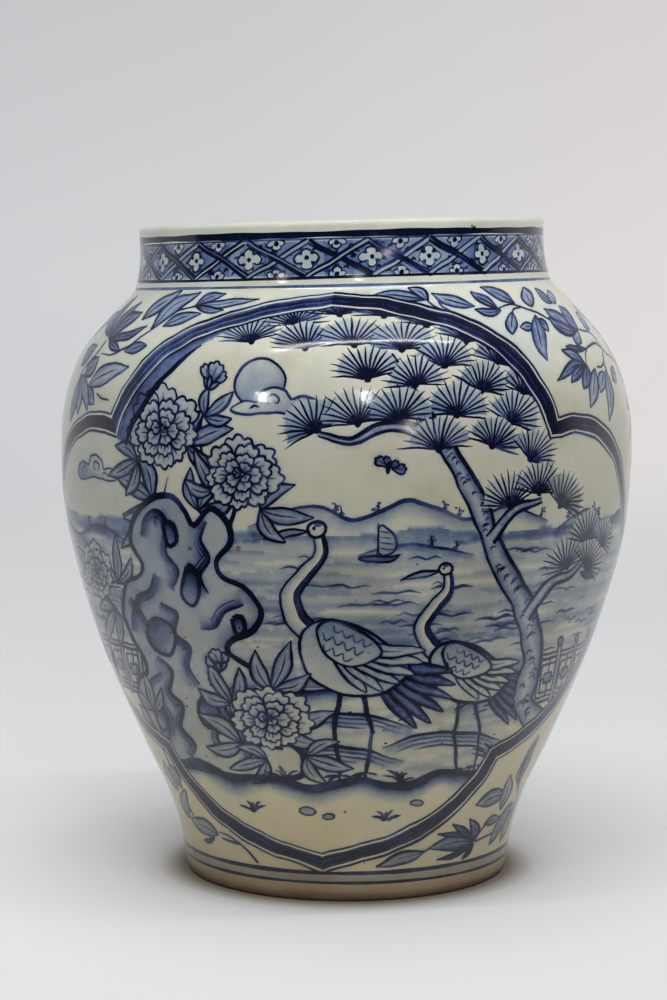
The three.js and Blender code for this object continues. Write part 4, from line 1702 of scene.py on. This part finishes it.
def corner_inks(sheet, triangles, marks, shown, cells):
    """Lays the lines on each triangle in painting order, and the washes under them."""
    corners = sheet[triangles]
    inks = np.zeros((len(triangles), 3))
    stains = np.zeros(len(triangles))
    counts = np.array([len(m) for m in marks])
    flat = np.array([shown[n] for m in marks for n in m], dtype=np.int64)
    starts = np.concatenate([[0], np.cumsum(counts)[:-1]])
    kinds, slopes, limits = np.array(painting.kinds), np.array(painting.slopes), np.array(painting.limits)
    areas = np.array(painting.areas)
    middle = corners.mean(axis=1)
    u = np.clip(((middle[:, 0] - U_CUT) / CELL).astype(int), 0, cells.columns - 1)
    v = np.clip(((middle[:, 1] - V_FOOT_EDGE) / CELL).astype(int), 0, cells.rows - 1)
    in_area = {number: mask[v, u] for number, mask in cells.areas.items()}
    for rank in range(int(counts.max())):
        rows = np.nonzero(counts > rank)[0]
        shapes = flat[starts[rows] + rank]
        kept = np.ones(len(rows), bool)
        for number, members in in_area.items():
            kept &= (areas[shapes] != number) | members[rows]
        rows, shapes = rows[kept], shapes[kept]
        slope = slopes[shapes][:, None, :]
        value = corners[rows, :, 0] * slope[..., 0] + corners[rows, :, 1] * slope[..., 1] + slope[..., 2]
        value = np.clip(value, limits[shapes][:, None, 0], limits[shapes][:, None, 1])
        old, kind = inks[rows], kinds[shapes]
        stained = kind == STAIN_MARK
        stains[rows[stained]] = value[stained, 0]
        line = np.maximum(old, value) + OVERLAP * np.minimum(old, value)
        line[stained] = old[stained]
        inks[rows] = np.where(kind[:, None] == RESERVE_MARK, value, line)
    near = corners + (middle[:, None, :] - corners) * NUDGE
    wash = cells.wash_at(near[..., 0], near[..., 1])
    return np.maximum(inks, wash) + OVERLAP * np.minimum(inks, wash), stains


cells = Cells()
cells.lay()
shown = [k for k in range(len(painting.faces)) if cells.shows(k)]
sheet, triangles, marks = triangulate([painting.faces[k] for k in shown])
inks, stains = corner_inks(sheet, triangles, marks, shown, cells)


class Solid:
    """Gathers the faces of one closed piece: its painted outside and its plain turned rest."""

    def __init__(self, name):
        self.name = name
        self.points, self.normals, self.faces, self.maps = [], [], [], []
        self.looks = {"ink": [], "stain": [], "bare": []}

    def add_points(self, points, normals):
        first = sum(len(p) for p in self.points)
        self.points.append(np.asarray(points, float))
        self.normals.append(np.asarray(normals, float))
        return first

    def add_faces(self, faces, maps, **looks):
        """Triangles with their places on the map. Ink, stain and bare clay are 0 where not given."""
        faces = np.asarray(faces, dtype=np.int64)
        self.faces.append(faces)
        self.maps.append(np.asarray(maps, float).reshape(len(faces), 6))
        for name, values in self.looks.items():
            values.append(np.broadcast_to(looks.get(name, 0.0), (len(faces), 3)))

    def build(self):
        faces = np.vstack(self.faces)
        mesh = bpy.data.meshes.new(self.name)
        mesh.from_pydata((np.vstack(self.points) * MM).tolist(), [], faces.tolist())
        mesh.update()
        for name, values in self.looks.items():
            layer = mesh.attributes.new(name, "FLOAT", "CORNER")
            layer.data.foreach_set("value", np.vstack(values).astype(np.float32).ravel())
        uv = mesh.uv_layers.new(name="OFBake")
        uv.data.foreach_set("uv", np.vstack(self.maps).astype(np.float32).ravel())
        mesh.polygons.foreach_set("use_smooth", [True] * len(mesh.polygons))
        mesh.normals_split_custom_set(np.vstack(self.normals)[faces.ravel()].tolist())
        obj = bpy.data.objects.new(self.name, mesh)
        bpy.context.collection.objects.link(obj)
        return obj


def zip_rings(outer, outer_turns, inner, inner_turns):
    """Triangles between two rings that go the same way round, each started at its lowest turn."""
    out = []
    i = j = 0
    count_a, count_b = len(outer), len(inner)
    while i < count_a or j < count_b:
        next_a = outer_turns[(i + 1) % count_a] + (TURN if i + 1 >= count_a else 0)
        next_b = inner_turns[(j + 1) % count_b] + (TURN if j + 1 >= count_b else 0)
        if j >= count_b or (i < count_a and next_a <= next_b):
            out.append((outer[i % count_a], outer[(i + 1) % count_a], inner[j % count_b]))
            i += 1
        else:
            out.append((outer[i % count_a], inner[(j + 1) % count_b], inner[j % count_b]))
            j += 1
    return out


TURN_COLUMNS = 180
MAP_OUTSIDE_SHARE = 0.72
MAP_MARGIN = 0.01
TURNS = CUT_TURN + np.arange(TURN_COLUMNS) * TURN / TURN_COLUMNS


def spin(line):
    """Points of a turned surface, row by row along a line of radius and height."""
    radius = np.repeat(line[:, 0], TURN_COLUMNS)
    turn = np.tile(TURNS, len(line))
    return np.column_stack([radius * np.sin(turn), -radius * np.cos(turn),
                            np.repeat(line[:, 1], TURN_COLUMNS)])


def line_normals(line):
    """Normals of the turned surface that has its clay on the left of the line."""
    way = np.gradient(line, axis=0)
    way /= np.maximum(np.hypot(*way.T), 1e-9)[:, None]
    return spin(np.column_stack([way[:, 1], -way[:, 0]]))


def map_edge(share, count):
    """Places for narrow triangles at one height on the map."""
    return np.tile((0.0, share, MAP_MARGIN, share, MAP_MARGIN, share), (count, 1))


def add_turned(solid, line, map_low, map_high, bare):
    """Turned faces along a line, whose start is at map_high. Returns the number of their first point."""
    line = np.asarray(line, float)
    first = solid.add_points(lean(spin(line)), line_normals(line))
    length = lengths(line)
    share = map_low + (map_high - map_low) * (1 - length / length[-1])
    j, i = np.divmod(np.arange((len(line) - 1) * TURN_COLUMNS), TURN_COLUMNS)
    a, b = first + j * TURN_COLUMNS + i, first + j * TURN_COLUMNS + (i + 1) % TURN_COLUMNS
    c, d = a + TURN_COLUMNS, b + TURN_COLUMNS
    u0, u1, high, low = i / TURN_COLUMNS, (i + 1) / TURN_COLUMNS, share[j], share[j + 1]
    bare = np.broadcast_to(bare, (len(line) - 1,))[j][:, None]
    solid.add_faces(np.column_stack([a, b, d]), np.column_stack([u0, high, u1, high, u1, low]), bare=bare)
    solid.add_faces(np.column_stack([a, d, c]), np.column_stack([u0, high, u1, low, u0, low]), bare=bare)
    return first


def painted_piece(name, v_low, v_high, rest, bare=0.0):
    """A closed piece: the painted outside between two places, and the rest, a line from top to bottom."""
    solid = Solid(name)
    middle_v = sheet[triangles][:, :, 1].mean(axis=1)
    chosen = np.nonzero((middle_v > v_low) & (middle_v < v_high))[0]
    used, local = np.unique(triangles[chosen], return_inverse=True)
    spots = sheet[used]
    # Both sides of the cut are one line on the jar
    wrapped = spots.copy()
    wrapped[np.abs(spots[:, 0] - (U_CUT + SHEET_WIDTH)) < NEAR, 0] = U_CUT
    at_cut = {}
    merge = np.empty(len(spots), dtype=np.int64)
    kept = []
    for n, (u, v) in enumerate(wrapped):
        if abs(u - U_CUT) < NEAR:
            merge[n] = at_cut.setdefault(round(v / SNAP), len(kept))
            if merge[n] < len(kept):
                continue
        merge[n] = len(kept)
        kept.append(n)
    turn, v = wrapped[kept, 0] / SHEET_RADIUS, wrapped[kept, 1]
    solid.add_points(outside_points(turn, v), outside_normals(turn, v))
    local = local.reshape(-1, 3)
    faces, maps = merge[local], spots[local]
    maps = np.stack([(maps[..., 0] - U_CUT) / SHEET_WIDTH,
                     MAP_OUTSIDE_SHARE * (maps[..., 1] - v_low) / (v_high - v_low)], -1)
    real = (faces[:, 0] != faces[:, 1]) & (faces[:, 1] != faces[:, 2]) & (faces[:, 0] != faces[:, 2])
    # Slivers beside the cut can lie back to back on the jar, and then both are left out
    _, match, counts = np.unique(np.sort(faces, axis=1), axis=0, return_inverse=True, return_counts=True)
    real &= counts[match.reshape(-1)] == 1
    solid.add_faces(faces[real], maps[real], ink=inks[chosen][real], stain=stains[chosen][real][:, None])
    map_low = MAP_OUTSIDE_SHARE + MAP_MARGIN
    first = add_turned(solid, rest, map_low, 1.0, bare)
    for v_end, row, share in ((v_high, 0, 1.0), (v_low, len(rest) - 1, map_low)):
        edge = np.nonzero(np.abs(v - v_end) < NEAR)[0]
        ring = [int(k) for k in edge[np.argsort(turn[edge])]]
        inner = [first + row * TURN_COLUMNS + i for i in range(TURN_COLUMNS)]
        joined = zip_rings(ring, [float(turn[k]) for k in ring], inner, list(TURNS))
        if row:
            joined = [t[::-1] for t in joined]
        solid.add_faces(joined, map_edge(share, len(joined)), bare=float(np.max(bare)))
    return solid.build()


# Inside: rings that the thrower's fingers left, and a fillet of slip over each seam
INSIDE_STEP = 2.4
INSIDE_RING_PITCH = 9.5
INSIDE_RING_HEIGHT = 0.3
INSIDE_SWELL_PITCH = 23.0
INSIDE_EVEN_AT_LIP = 8.0
INSIDE_GROWTH = 12.0
FILLET_RISE = 3.2
SEAM_FILLET_REACH = 13.0
COLLAR_FILLET_REACH = 9.0
COIL_HEIGHT = 14.0
COIL_WIDTH = 18.0


def hump(distance, reach):
    return np.where(np.abs(distance) < reach, np.cos(math.pi * distance / (2 * reach)) ** 2, 0)


def inside_radius(z):
    z = np.asarray(z, float)
    plain = np.where(z < COLLAR_ROOT, inner_wall_radius(np.minimum(z, COLLAR_ROOT)), COLLAR_INNER_RADIUS)
    swells = 0.5 * np.sin(TURN * z / INSIDE_SWELL_PITCH + 1)
    rings = INSIDE_RING_HEIGHT * (np.sin(TURN * z / INSIDE_RING_PITCH) + swells)
    fillets = hump(z - SEAM_HEIGHT, SEAM_FILLET_REACH) + hump(z - COLLAR_ROOT, COLLAR_FILLET_REACH)
    fade = np.clip((JAR_HEIGHT - INSIDE_EVEN_AT_LIP - z) / INSIDE_GROWTH, 0, 1)
    return plain - FILLET_RISE * fillets - rings * fade


def inside_line(high, low):
    zs = np.linspace(high, low, int((high - low) / INSIDE_STEP) + 2)
    return np.column_stack([inside_radius(zs), zs])


def make_pieces():
    lip_centre = JAR_HEIGHT - LIP_ROUNDING
    inner_lip = arc(COLLAR_INNER_RADIUS + LIP_ROUNDING, lip_centre, LIP_ROUNDING, 90, 180, 10)
    coil_top = FOOT_HEIGHT + COIL_HEIGHT
    coil_foot = float(inner_wall_radius(FOOT_HEIGHT)) - COIL_WIDTH
    turns = np.linspace(math.pi / 2, 0, 10)[1:]
    coil_z = coil_top - COIL_HEIGHT * np.cos(turns)
    coil = np.column_stack([coil_foot + (inside_radius(coil_z) - coil_foot) * np.sin(turns), coil_z])
    foot_rest = [(LEDGE_RADIUS, FOOT_HEIGHT),
                 (LEDGE_RADIUS, LEDGE_HEIGHT), (FOOT_INNER_RADIUS, LEDGE_HEIGHT),
                 (FOOT_INNER_RADIUS, FOOT_EDGE / 2), (FOOT_INNER_RADIUS + FOOT_EDGE / 2, 0)]
    collar_rest = np.vstack([inner_lip, inside_line(lip_centre, COLLAR_ROOT)[1:]])
    low_rest = np.vstack([inside_line(SEAM_HEIGHT, coil_top), coil[::-1]])
    return [
        painted_piece("glazed_collar", V_ROOT, V_LIP, collar_rest),
        painted_piece("glazed_upper_body", V_SEAM, V_ROOT, inside_line(COLLAR_ROOT, SEAM_HEIGHT)),
        painted_piece("glazed_lower_body", V_FOOT, V_SEAM, low_rest),
        painted_piece("clay_foot", V_FOOT_EDGE, V_FOOT, foot_rest, bare=1.0),
    ]


# The floor slab: its gap in the ledge, its bevel, and the rings of points on each face
SLAB_GAP = 0.3
SLAB_BEVEL = 0.5
SLAB_RINGS = 64
# Above, the finger's rings, which fade out at the rim, and a knob in the middle
FINGER_RING_HEIGHT = 0.35
FINGER_RING_LENGTH = 1.9
FINGER_RING_FADE = 20
KNOB_HEIGHT = 1.6
KNOB_RADIUS = 9
# Below, the turning tool's rings, how far out they go, and the hollow
TOOL_RING_HEIGHT = 0.22
TOOL_RING_LENGTH = 0.9
TOOL_RING_REACH = 76
HOLLOW_DEPTH = 1.2
HOLLOW_SLOPE = 0.05


def make_base():
    """The floor slab: glazed above, bare and a little hollow below, with turning marks on both faces."""
    solid = Solid("clay_base")
    radius = LEDGE_RADIUS - SLAB_GAP
    above, below = [], []
    for r in np.linspace(SLAB_BEVEL, radius - SLAB_BEVEL, SLAB_RINGS):
        fade = min(1, (radius - r) / FINGER_RING_FADE)
        rings = FINGER_RING_HEIGHT * math.sin(r / FINGER_RING_LENGTH) * fade
        above.append((r, FOOT_HEIGHT + rings + KNOB_HEIGHT * math.exp(-((r / KNOB_RADIUS) ** 2))))
    for r in np.linspace(FOOT_INNER_RADIUS, SLAB_BEVEL, SLAB_RINGS):
        rings = TOOL_RING_HEIGHT * math.sin(r / TOOL_RING_LENGTH) if r < TOOL_RING_REACH else 0
        hollow = min(LEDGE_HEIGHT + HOLLOW_DEPTH, LEDGE_HEIGHT + (FOOT_INNER_RADIUS - r) * HOLLOW_SLOPE)
        below.append((r, hollow + rings))
    edge = [(radius, FOOT_HEIGHT - SLAB_BEVEL), (radius, LEDGE_HEIGHT + SLAB_BEVEL),
            (radius - SLAB_BEVEL, LEDGE_HEIGHT)]
    line = [*above, *edge, *below]
    bare = [0.0] * (len(above) + 1) + [1.0] * (len(line) - len(above) - 2)
    first = add_turned(solid, line[::-1], 2 * MAP_MARGIN, 1 - 2 * MAP_MARGIN, bare=bare[::-1])
    last_row = first + (len(line) - 1) * TURN_COLUMNS
    for row, height, way, clay in ((first, line[-1][1], 1, 1.0), (last_row, line[0][1], -1, 0.0)):
        middle = solid.add_points([(0, 0, height)], [(0, 0, -way)])
        fan = [(row + i, row + (i + 1) % TURN_COLUMNS, middle)[::-way] for i in range(TURN_COLUMNS)]
        share = 1 - MAP_MARGIN if way > 0 else MAP_MARGIN
        solid.add_faces(fan, map_edge(share, TURN_COLUMNS), bare=clay)
    return solid.build()


collar, upper_body, lower_body, foot = make_pieces()
base = make_base()


class Tree:
    """Adds nodes to a material's or the world's tree. A socket is given a value or a node's output."""

    def __init__(self, owner):
        owner.use_nodes = True
        self.nodes, self.links = owner.node_tree.nodes, owner.node_tree.links

    def feed(self, node, inputs):
        for key, value in inputs.items():
            if isinstance(value, bpy.types.NodeSocket):
                self.links.new(value, node.inputs[key])
            else:
                node.inputs[key].default_value = value

    def add(self, kind, inputs=(), **settings):
        node = self.nodes.new("ShaderNode" + kind)
        for name, value in settings.items():
            setattr(node, name, value)
        self.feed(node, dict(inputs))
        return node

    def math(self, operation, *values):
        return self.add("Math", enumerate(values), operation=operation).outputs[0]

    def noise(self, place, scale, detail, roughness):
        looks = {"Vector": place, "Scale": scale, "Detail": detail, "Roughness": roughness}
        return self.add("TexNoise", looks).outputs["Fac"]

    def ramp(self, stops, value):
        """The colour that a value has on a ramp of places and colours."""
        node = self.add("ValToRGB", {"Fac": value})
        marks = node.color_ramp.elements
        for end in (0, -1):
            marks[end].position = stops[end][0]
            marks[end].color = (*stops[end][1], 1)
        for place, colour in stops[1:-1]:
            marks.new(place).color = (*colour, 1)
        return node.outputs["Color"]

    def fade(self, value, start, end, kind="SMOOTHSTEP"):
        """0 up to the start and 1 from the end on."""
        inputs = {"Value": value, "From Min": start, "From Max": end}
        return self.add("MapRange", inputs, interpolation_type=kind).outputs["Result"]

    def mix(self, blend, a, b, factor=1.0):
        inputs = {"A": a, "B": b, "Factor": factor}
        return self.add("Mix", inputs, data_type="RGBA", blend_type=blend).outputs["Result"]

    def mix_shaders(self, factor, first, second):
        return self.add("MixShader", enumerate((factor, first, second))).outputs[0]


# Cobalt under the glaze: the share of the ground's red, green and blue that comes through, by strength
COBALT = [
    (0.0, (1.0, 1.0, 1.0)), (0.12, (0.74, 0.81, 0.94)), (0.24, (0.49, 0.59, 0.82)),
    (0.36, (0.29, 0.39, 0.68)), (0.5, (0.15, 0.225, 0.52)), (0.64, (0.068, 0.108, 0.36)),
    (0.8, (0.024, 0.038, 0.19)), (0.92, (0.009, 0.014, 0.08)), (1.0, (0.004, 0.007, 0.04)),
]
# The ground's colour from foot to lip: bare clay, thin glaze over warm clay, then cleaner glaze. Its
# darkening at the foot's edge by the table is in part painted shade, and its paling up the shoulder and
# collar is in part painted light from above
GLAZE_TONE_AND_PAINTED_LIGHT = [
    (0.0, (0.065, 0.041, 0.024)), (0.008, (0.14, 0.096, 0.056)), (0.015, (0.27, 0.20, 0.115)),
    (0.035, (0.35, 0.28, 0.16)), (0.055, (0.44, 0.365, 0.22)), (0.16, (0.51, 0.44, 0.275)),
    (0.3, (0.48, 0.44, 0.31)), (0.45, (0.445, 0.42, 0.325)), (0.6, (0.42, 0.406, 0.318)),
    (0.72, (0.46, 0.453, 0.372)), (0.86, (0.585, 0.597, 0.507)), (1.0, (0.62, 0.63, 0.53)),
]
MOTTLE = [(0.3, (0.90, 0.86, 0.80)), (0.48, (1.0, 1.0, 1.0)), (0.7, (1.05, 1.06, 1.09))]
STAIN = [(0.0, (1.0, 1.0, 1.0)), (0.5, (0.68, 0.36, 0.3)), (1.0, (0.07, 0.04, 0.025))]
# Bare clay, made darker in part as painted shade along the foot's edge by the table
CLAY_AND_PAINTED_SHADE = [(0.0, (0.05, 0.031, 0.02)), (0.45, (0.115, 0.075, 0.045)), (0.7, (0.165, 0.112, 0.07)),
        (1.0, (0.27, 0.20, 0.135))]

# Patches in the surface: how many there are to a metre, their detail and their roughness
POOLS = (75.0, 3.0, 0.6)
GRAINS = (520.0, 2.0, 0.6)
SMUDGES = (11.0, 4.0, 0.6)
GROUND_PATCHES = (14.0, 3.0, 0.5)
MOTTLES = (24.0, 5.0, 0.62)
EDGE_WAVES = (46.0, 2.0, 0.6)
GRIT = (900.0, 3.0, 0.7)
CLAY_PATCHES = (60.0, 3.0, 0.6)
GLOSS_PATCHES = (30.0, 2.0, 0.55)
GLAZE_WAVES = (38.0, 2.0, 0.4)
ORANGE_PEEL = (260.0, 1.0, 0.5)

# The strength of the colour: its least, and what pools and grains of it add
THINNEST = 0.36
POOL_STRENGTH = 0.95
GRAIN_STRENGTH = 0.34
# The colour is laid weaker low down and stronger higher up the jar
COBALT_AT_FOOT = 0.82
COBALT_GAIN_UP = 0.27
COBALT_MOST = 1.06
SMUDGE_STRENGTH = 0.4
# How far patches shift the ground's colour, as a share of the height, and how soon above the foot
PATCH_SHIFT = 0.16
PATCH_GROWTH = 1.3
GLAZE_EDGE = 0.0036
GLAZE_EDGE_WANDER = 0.0038
GLAZE_EDGE_SHARPNESS = 2500.0
GLAZE_ROUGHNESS = 0.09
GLAZE_ROUGHNESS_WANDER = 0.08
CLAY_ROUGHNESS = 0.62
GLAZE_IOR = 1.5
CLAY_GRIT_SHARE = 0.5
CLAY_PATCH_SHARE = 0.6
BUMP_STRENGTH = 0.35
BUMP_HEIGHT = 0.0006
PEEL_HEIGHT = 0.12
GRIT_HEIGHT = 0.5


def jar_material():
    """Painted glaze over warm clay, and the bare clay of the foot."""
    material = bpy.data.materials.new("painted_glaze")
    tree = Tree(material)
    shader = tree.nodes["Principled BSDF"]
    place = tree.add("TexCoord").outputs["Object"]
    height = tree.add("SeparateXYZ", {0: place}).outputs["Z"]
    share = tree.math("DIVIDE", height, JAR_HEIGHT * MM)

    def look(name):
        return tree.add("Attribute", attribute_name=name).outputs["Fac"]

    def patches(kind, middle=0.0):
        noise = tree.noise(place, *kind)
        return tree.math("SUBTRACT", noise, middle) if middle else noise

    # The strength of the colour wanders as a wet brush leaves it, and it gathers in small pools
    strength = tree.math("MULTIPLY_ADD", patches(POOLS), POOL_STRENGTH, THINNEST)
    strength = tree.math("MULTIPLY_ADD", patches(GRAINS), GRAIN_STRENGTH, strength)
    strength = tree.math("MULTIPLY", look("ink"), strength)
    load = tree.math("MINIMUM", tree.math("MULTIPLY_ADD", share, COBALT_GAIN_UP, COBALT_AT_FOOT), COBALT_MOST)
    # A damp brush and fingers left faint smudges
    smudge = tree.math("MULTIPLY", tree.math("MAXIMUM", patches(SMUDGES, 0.5), 0.0), SMUDGE_STRENGTH)
    cobalt = tree.ramp(COBALT, tree.math("MULTIPLY_ADD", strength, load, smudge))
    # The ground, with its painted shade at the foot and painted light up the shoulder, and warm and grey
    # patches
    spread = tree.math("MINIMUM", tree.math("MULTIPLY", share, PATCH_GROWTH), PATCH_SHIFT)
    ground = tree.ramp(GLAZE_TONE_AND_PAINTED_LIGHT, tree.math("MULTIPLY_ADD", patches(GROUND_PATCHES, 0.5), spread, share))
    ground = tree.mix("MULTIPLY", ground, tree.ramp(MOTTLE, patches(MOTTLES)))
    painted = tree.mix("MULTIPLY", ground, cobalt)
    painted = tree.mix("MULTIPLY", painted, tree.ramp(STAIN, look("stain")))
    # Below the glaze's uneven edge, and underneath, the clay is bare
    edge = tree.math("MULTIPLY_ADD", patches(EDGE_WAVES, 0.5), GLAZE_EDGE_WANDER * 2, GLAZE_EDGE)
    below = tree.math("MULTIPLY", tree.math("SUBTRACT", edge, height), GLAZE_EDGE_SHARPNESS)
    below.node.use_clamp = True
    bare = tree.math("MAXIMUM", below, look("bare"))
    grit = patches(GRIT)
    coarse = tree.math("MULTIPLY", patches(CLAY_PATCHES), CLAY_PATCH_SHARE)
    clay = tree.ramp(CLAY_AND_PAINTED_SHADE, tree.math("MULTIPLY_ADD", grit, CLAY_GRIT_SHARE, coarse))
    gloss = tree.math("MULTIPLY_ADD", patches(GLOSS_PATCHES), GLAZE_ROUGHNESS_WANDER, GLAZE_ROUGHNESS)
    # The glaze's surface is a little wavy, with a fine orange-peel grain. The clay is gritty
    waves = tree.math("MULTIPLY_ADD", patches(ORANGE_PEEL), PEEL_HEIGHT, patches(GLAZE_WAVES))
    relief = tree.math("MULTIPLY_ADD", tree.math("MULTIPLY", grit, bare), GRIT_HEIGHT, waves)
    bump = tree.add("Bump", {"Strength": BUMP_STRENGTH, "Distance": BUMP_HEIGHT, "Height": relief})
    tree.feed(shader, {
        "Base Color": tree.mix("MIX", painted, clay, bare),
        "Roughness": tree.math("MULTIPLY_ADD", bare, CLAY_ROUGHNESS, gloss),
        "IOR": GLAZE_IOR,
        "Normal": bump.outputs["Normal"],
    })
    return material


glaze = jar_material()
for piece, finish, nodes_replaced in (
        (collar, "glaze", ["neck_collar", "collar_seam"]), (upper_body, "glaze", ["upper_body"]),
        (lower_body, "glaze", ["lower_body", "belly_seam", "floor_coil", "foot_slip"]),
        (foot, "biscuit", ["foot_ring"]), (base, "biscuit", ["base_disc"])):
    piece.data.materials.append(glaze)
    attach(piece, "root")
    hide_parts(*nodes_replaced)


# Stage and light

FLOOR_SIZE = 80
FLOOR_COLOUR = (0.62, 0.634, 0.642)
FLOOR_ROUGHNESS = 0.9
FLOOR_SPECULAR = 0.1
BACKDROP = [(0.0, (0.60, 0.615, 0.635)), (0.4, (0.65, 0.655, 0.67)), (0.6, (0.70, 0.69, 0.70)),
            (0.8, (0.755, 0.705, 0.71)), (1.0, (0.73, 0.72, 0.725))]
BACKDROP_DARKER_UP = 0.95
BACKDROP_NEAR = 0.7
BACKDROP_FAR = 3.2
BACKDROP_SPREAD = 2.2
CLOTH_ENDS = (-0.1, -0.26)
# Painted contact shadow on the cloth round the foot: its tints by distance from the middle of the foot, in
# fifths of a metre
PAINTED_CONTACT_SHADOW = [(0.0, (0.3, 0.26, 0.22)), (0.485, (0.34, 0.29, 0.24)), (0.52, (0.62, 0.58, 0.54)),
           (0.56, (0.88, 0.87, 0.86)), (0.62, (1.0, 1.0, 1.0))]
CONTACT_REACH = 5.0
# Painted light that lifts the jar's shadow on the cloth, by distance from the shadow's middle as a share of
# its reach in metres
SHADE_MIDDLE = (-0.1, 0.06, 0.0)
SHADE_REACH = 0.6
PAINTED_SHADOW_LIFT = [(0.0, 1.25), (0.17, 1.24), (0.25, 1.19), (0.33, 1.13), (0.5, 1.06), (1.0, 1.0)]
# The dim room in front of the jar and the cloth's light behind it, and where the cloth shows in the gloss
ROOM = [(0.0, (0.03, 0.03, 0.035)), (0.5, (0.045, 0.045, 0.05)), (0.68, (0.5, 0.51, 0.52)),
        (1.0, (0.66, 0.67, 0.68))]
ROOM_IN_GLOSS = (0.03, 0.03, 0.033, 1)
CLOTH_IN_GLOSS = (0.5, 0.72)
# Area lamps: place, size, power, target and colour
LAMPS = {
    "ceiling_strip": ((0.1, -0.48, 1.65), (1.5, 0.05), 7.0, (0, 0, 0.3), (1, 1, 1)),
    "left_lamp": ((-1.3, -1.9, 1.4), (0.1, 0.1), 3.0, (0, 0, 0.25), (1, 1, 1)),
    "right_lamp": ((0.32, -2.3, 1.5), (0.1, 0.1), 3.0, (0, 0, 0.25), (1, 1, 1)),
    "warm_window": ((0.95, -2.1, 0.75), (0.16, 0.3), 1.6, (0, 0, 0.25), (1.0, 0.86, 0.8)),
}
CEILING_PLACE = (0.11, -0.38, 1.0)
CEILING_POWER = 2.45
CEILING_SPREAD = 74
CEILING_COLOUR = (1.0, 0.995, 0.98)


def backdrop_colour(tree, way):
    """The backdrop's colour in a direction, with painted light and shade: a little darker to the left and
    upwards, paler and warmer to the right.
    """
    unit = tree.add("VectorMath", {0: way}, operation="NORMALIZE").outputs["Vector"]
    parts = tree.add("SeparateXYZ", {0: unit}).outputs
    colour = tree.ramp(BACKDROP, tree.math("MULTIPLY_ADD", parts["X"], BACKDROP_SPREAD, 0.5))
    shade = tree.math("MULTIPLY_ADD", tree.math("MAXIMUM", parts["Z"], 0.0), -BACKDROP_DARKER_UP, 1.0)
    return tree.add("VectorMath", {0: colour, "Scale": shade}, operation="SCALE").outputs["Vector"]


def make_stage():
    """A floor that runs into the backdrop without a line."""
    bpy.ops.mesh.primitive_plane_add(size=FLOOR_SIZE, location=(0, 0, 0))
    floor = bpy.context.object
    floor.name = "floor"
    material = bpy.data.materials.new("floor")
    tree = Tree(material)
    place = tree.add("TexCoord").outputs["Object"]
    distance = tree.add("VectorMath", {0: place}, operation="LENGTH").outputs["Value"]
    # Painted contact shadow: the cloth is darker and warmer close round the foot
    tints = [(share, tuple(np.multiply(tint, FLOOR_COLOUR))) for share, tint in PAINTED_CONTACT_SHADOW]
    contact_shadow = tree.ramp(tints, tree.math("MULTIPLY", distance, CONTACT_REACH))
    # Painted light: the cloth is made paler where the jar's shadow falls on it
    beside = tree.add("VectorMath", {0: place, 1: SHADE_MIDDLE}, operation="DISTANCE").outputs["Value"]
    tints = [(share, (tint,) * 3) for share, tint in PAINTED_SHADOW_LIFT]
    paler = tree.ramp(tints, tree.math("DIVIDE", beside, SHADE_REACH))
    cloth = tree.nodes["Principled BSDF"]
    tree.feed(cloth, {"Base Color": tree.mix("MULTIPLY", contact_shadow, paler), "Roughness": FLOOR_ROUGHNESS,
                      "Specular IOR Level": FLOOR_SPECULAR})
    far = tree.add("Emission", {"Color": backdrop_colour(tree, place)})
    away = tree.fade(distance, BACKDROP_NEAR, BACKDROP_FAR)
    whole = tree.mix_shaders(away, cloth.outputs[0], far.outputs[0])
    # In the glaze's gloss the cloth ends in front of the jar, at the edge of the table
    room = tree.add("Emission", {"Color": ROOM_IN_GLOSS})
    beyond = tree.fade(tree.add("SeparateXYZ", {0: place}).outputs["Y"], *CLOTH_ENDS)
    beyond = tree.math("MULTIPLY", tree.add("LightPath").outputs["Is Glossy Ray"], beyond)
    whole = tree.mix_shaders(beyond, whole, room.outputs[0])
    tree.feed(tree.nodes["Material Output"], {"Surface": whole})
    floor.data.materials.append(material)


def add_light(kind, name, place, power, target, colour, **shape):
    light = bpy.data.lights.new(name, kind)
    light.energy = power
    light.color = colour
    for setting, value in shape.items():
        setattr(light, setting, value)
    obj = bpy.data.objects.new(name, light)
    obj.location = place
    obj.rotation_euler = (Vector(target) - obj.location).to_track_quat("-Z", "Y").to_euler()
    bpy.context.collection.objects.link(obj)
    return obj


def make_lights():
    """Light as even and soft as from a white ceiling, and lamps that give the glaze its highlights."""
    ceiling = add_light("SUN", "ceiling", CEILING_PLACE, CEILING_POWER, (0, 0, 0), CEILING_COLOUR,
                        angle=math.radians(CEILING_SPREAD))
    ceiling.visible_glossy = False
    for name, (place, (wide, high), power, target, colour) in LAMPS.items():
        add_light("AREA", name, place, power, target, colour, shape="RECTANGLE", size=wide, size_y=high)


def make_world():
    """A pale cloth behind and beside the jar, and a dim room in front of it."""
    world = bpy.data.worlds.new("world")
    bpy.context.scene.world = world
    tree = Tree(world)
    way = tree.add("TexCoord").outputs["Generated"]
    # From 0 straight in front of the jar to 1 straight behind it
    behind = tree.math("MULTIPLY_ADD", tree.add("SeparateXYZ", {0: way}).outputs["Y"], 0.5, 0.5)
    room = tree.nodes["Background"]
    tree.feed(room, {"Color": tree.ramp(ROOM, behind)})
    # The camera and clear glass see the cloth, and so does gloss where the cloth stands behind the jar
    cloth = tree.add("Background", {"Color": backdrop_colour(tree, way), "Strength": 1.0})
    rays = tree.add("LightPath").outputs
    gloss = tree.math("MULTIPLY", rays["Is Glossy Ray"], tree.fade(behind, *CLOTH_IN_GLOSS, kind="LINEAR"))
    clear = tree.math("MAXIMUM", rays["Is Camera Ray"], rays["Is Transmission Ray"])
    seen = tree.mix_shaders(tree.math("MAXIMUM", clear, gloss), room.outputs[0], cloth.outputs[0])
    tree.feed(tree.nodes["World Output"], {"Surface": seen})


make_stage()
make_lights()
make_world()
bpy.context.scene.view_settings.view_transform = "Standard"
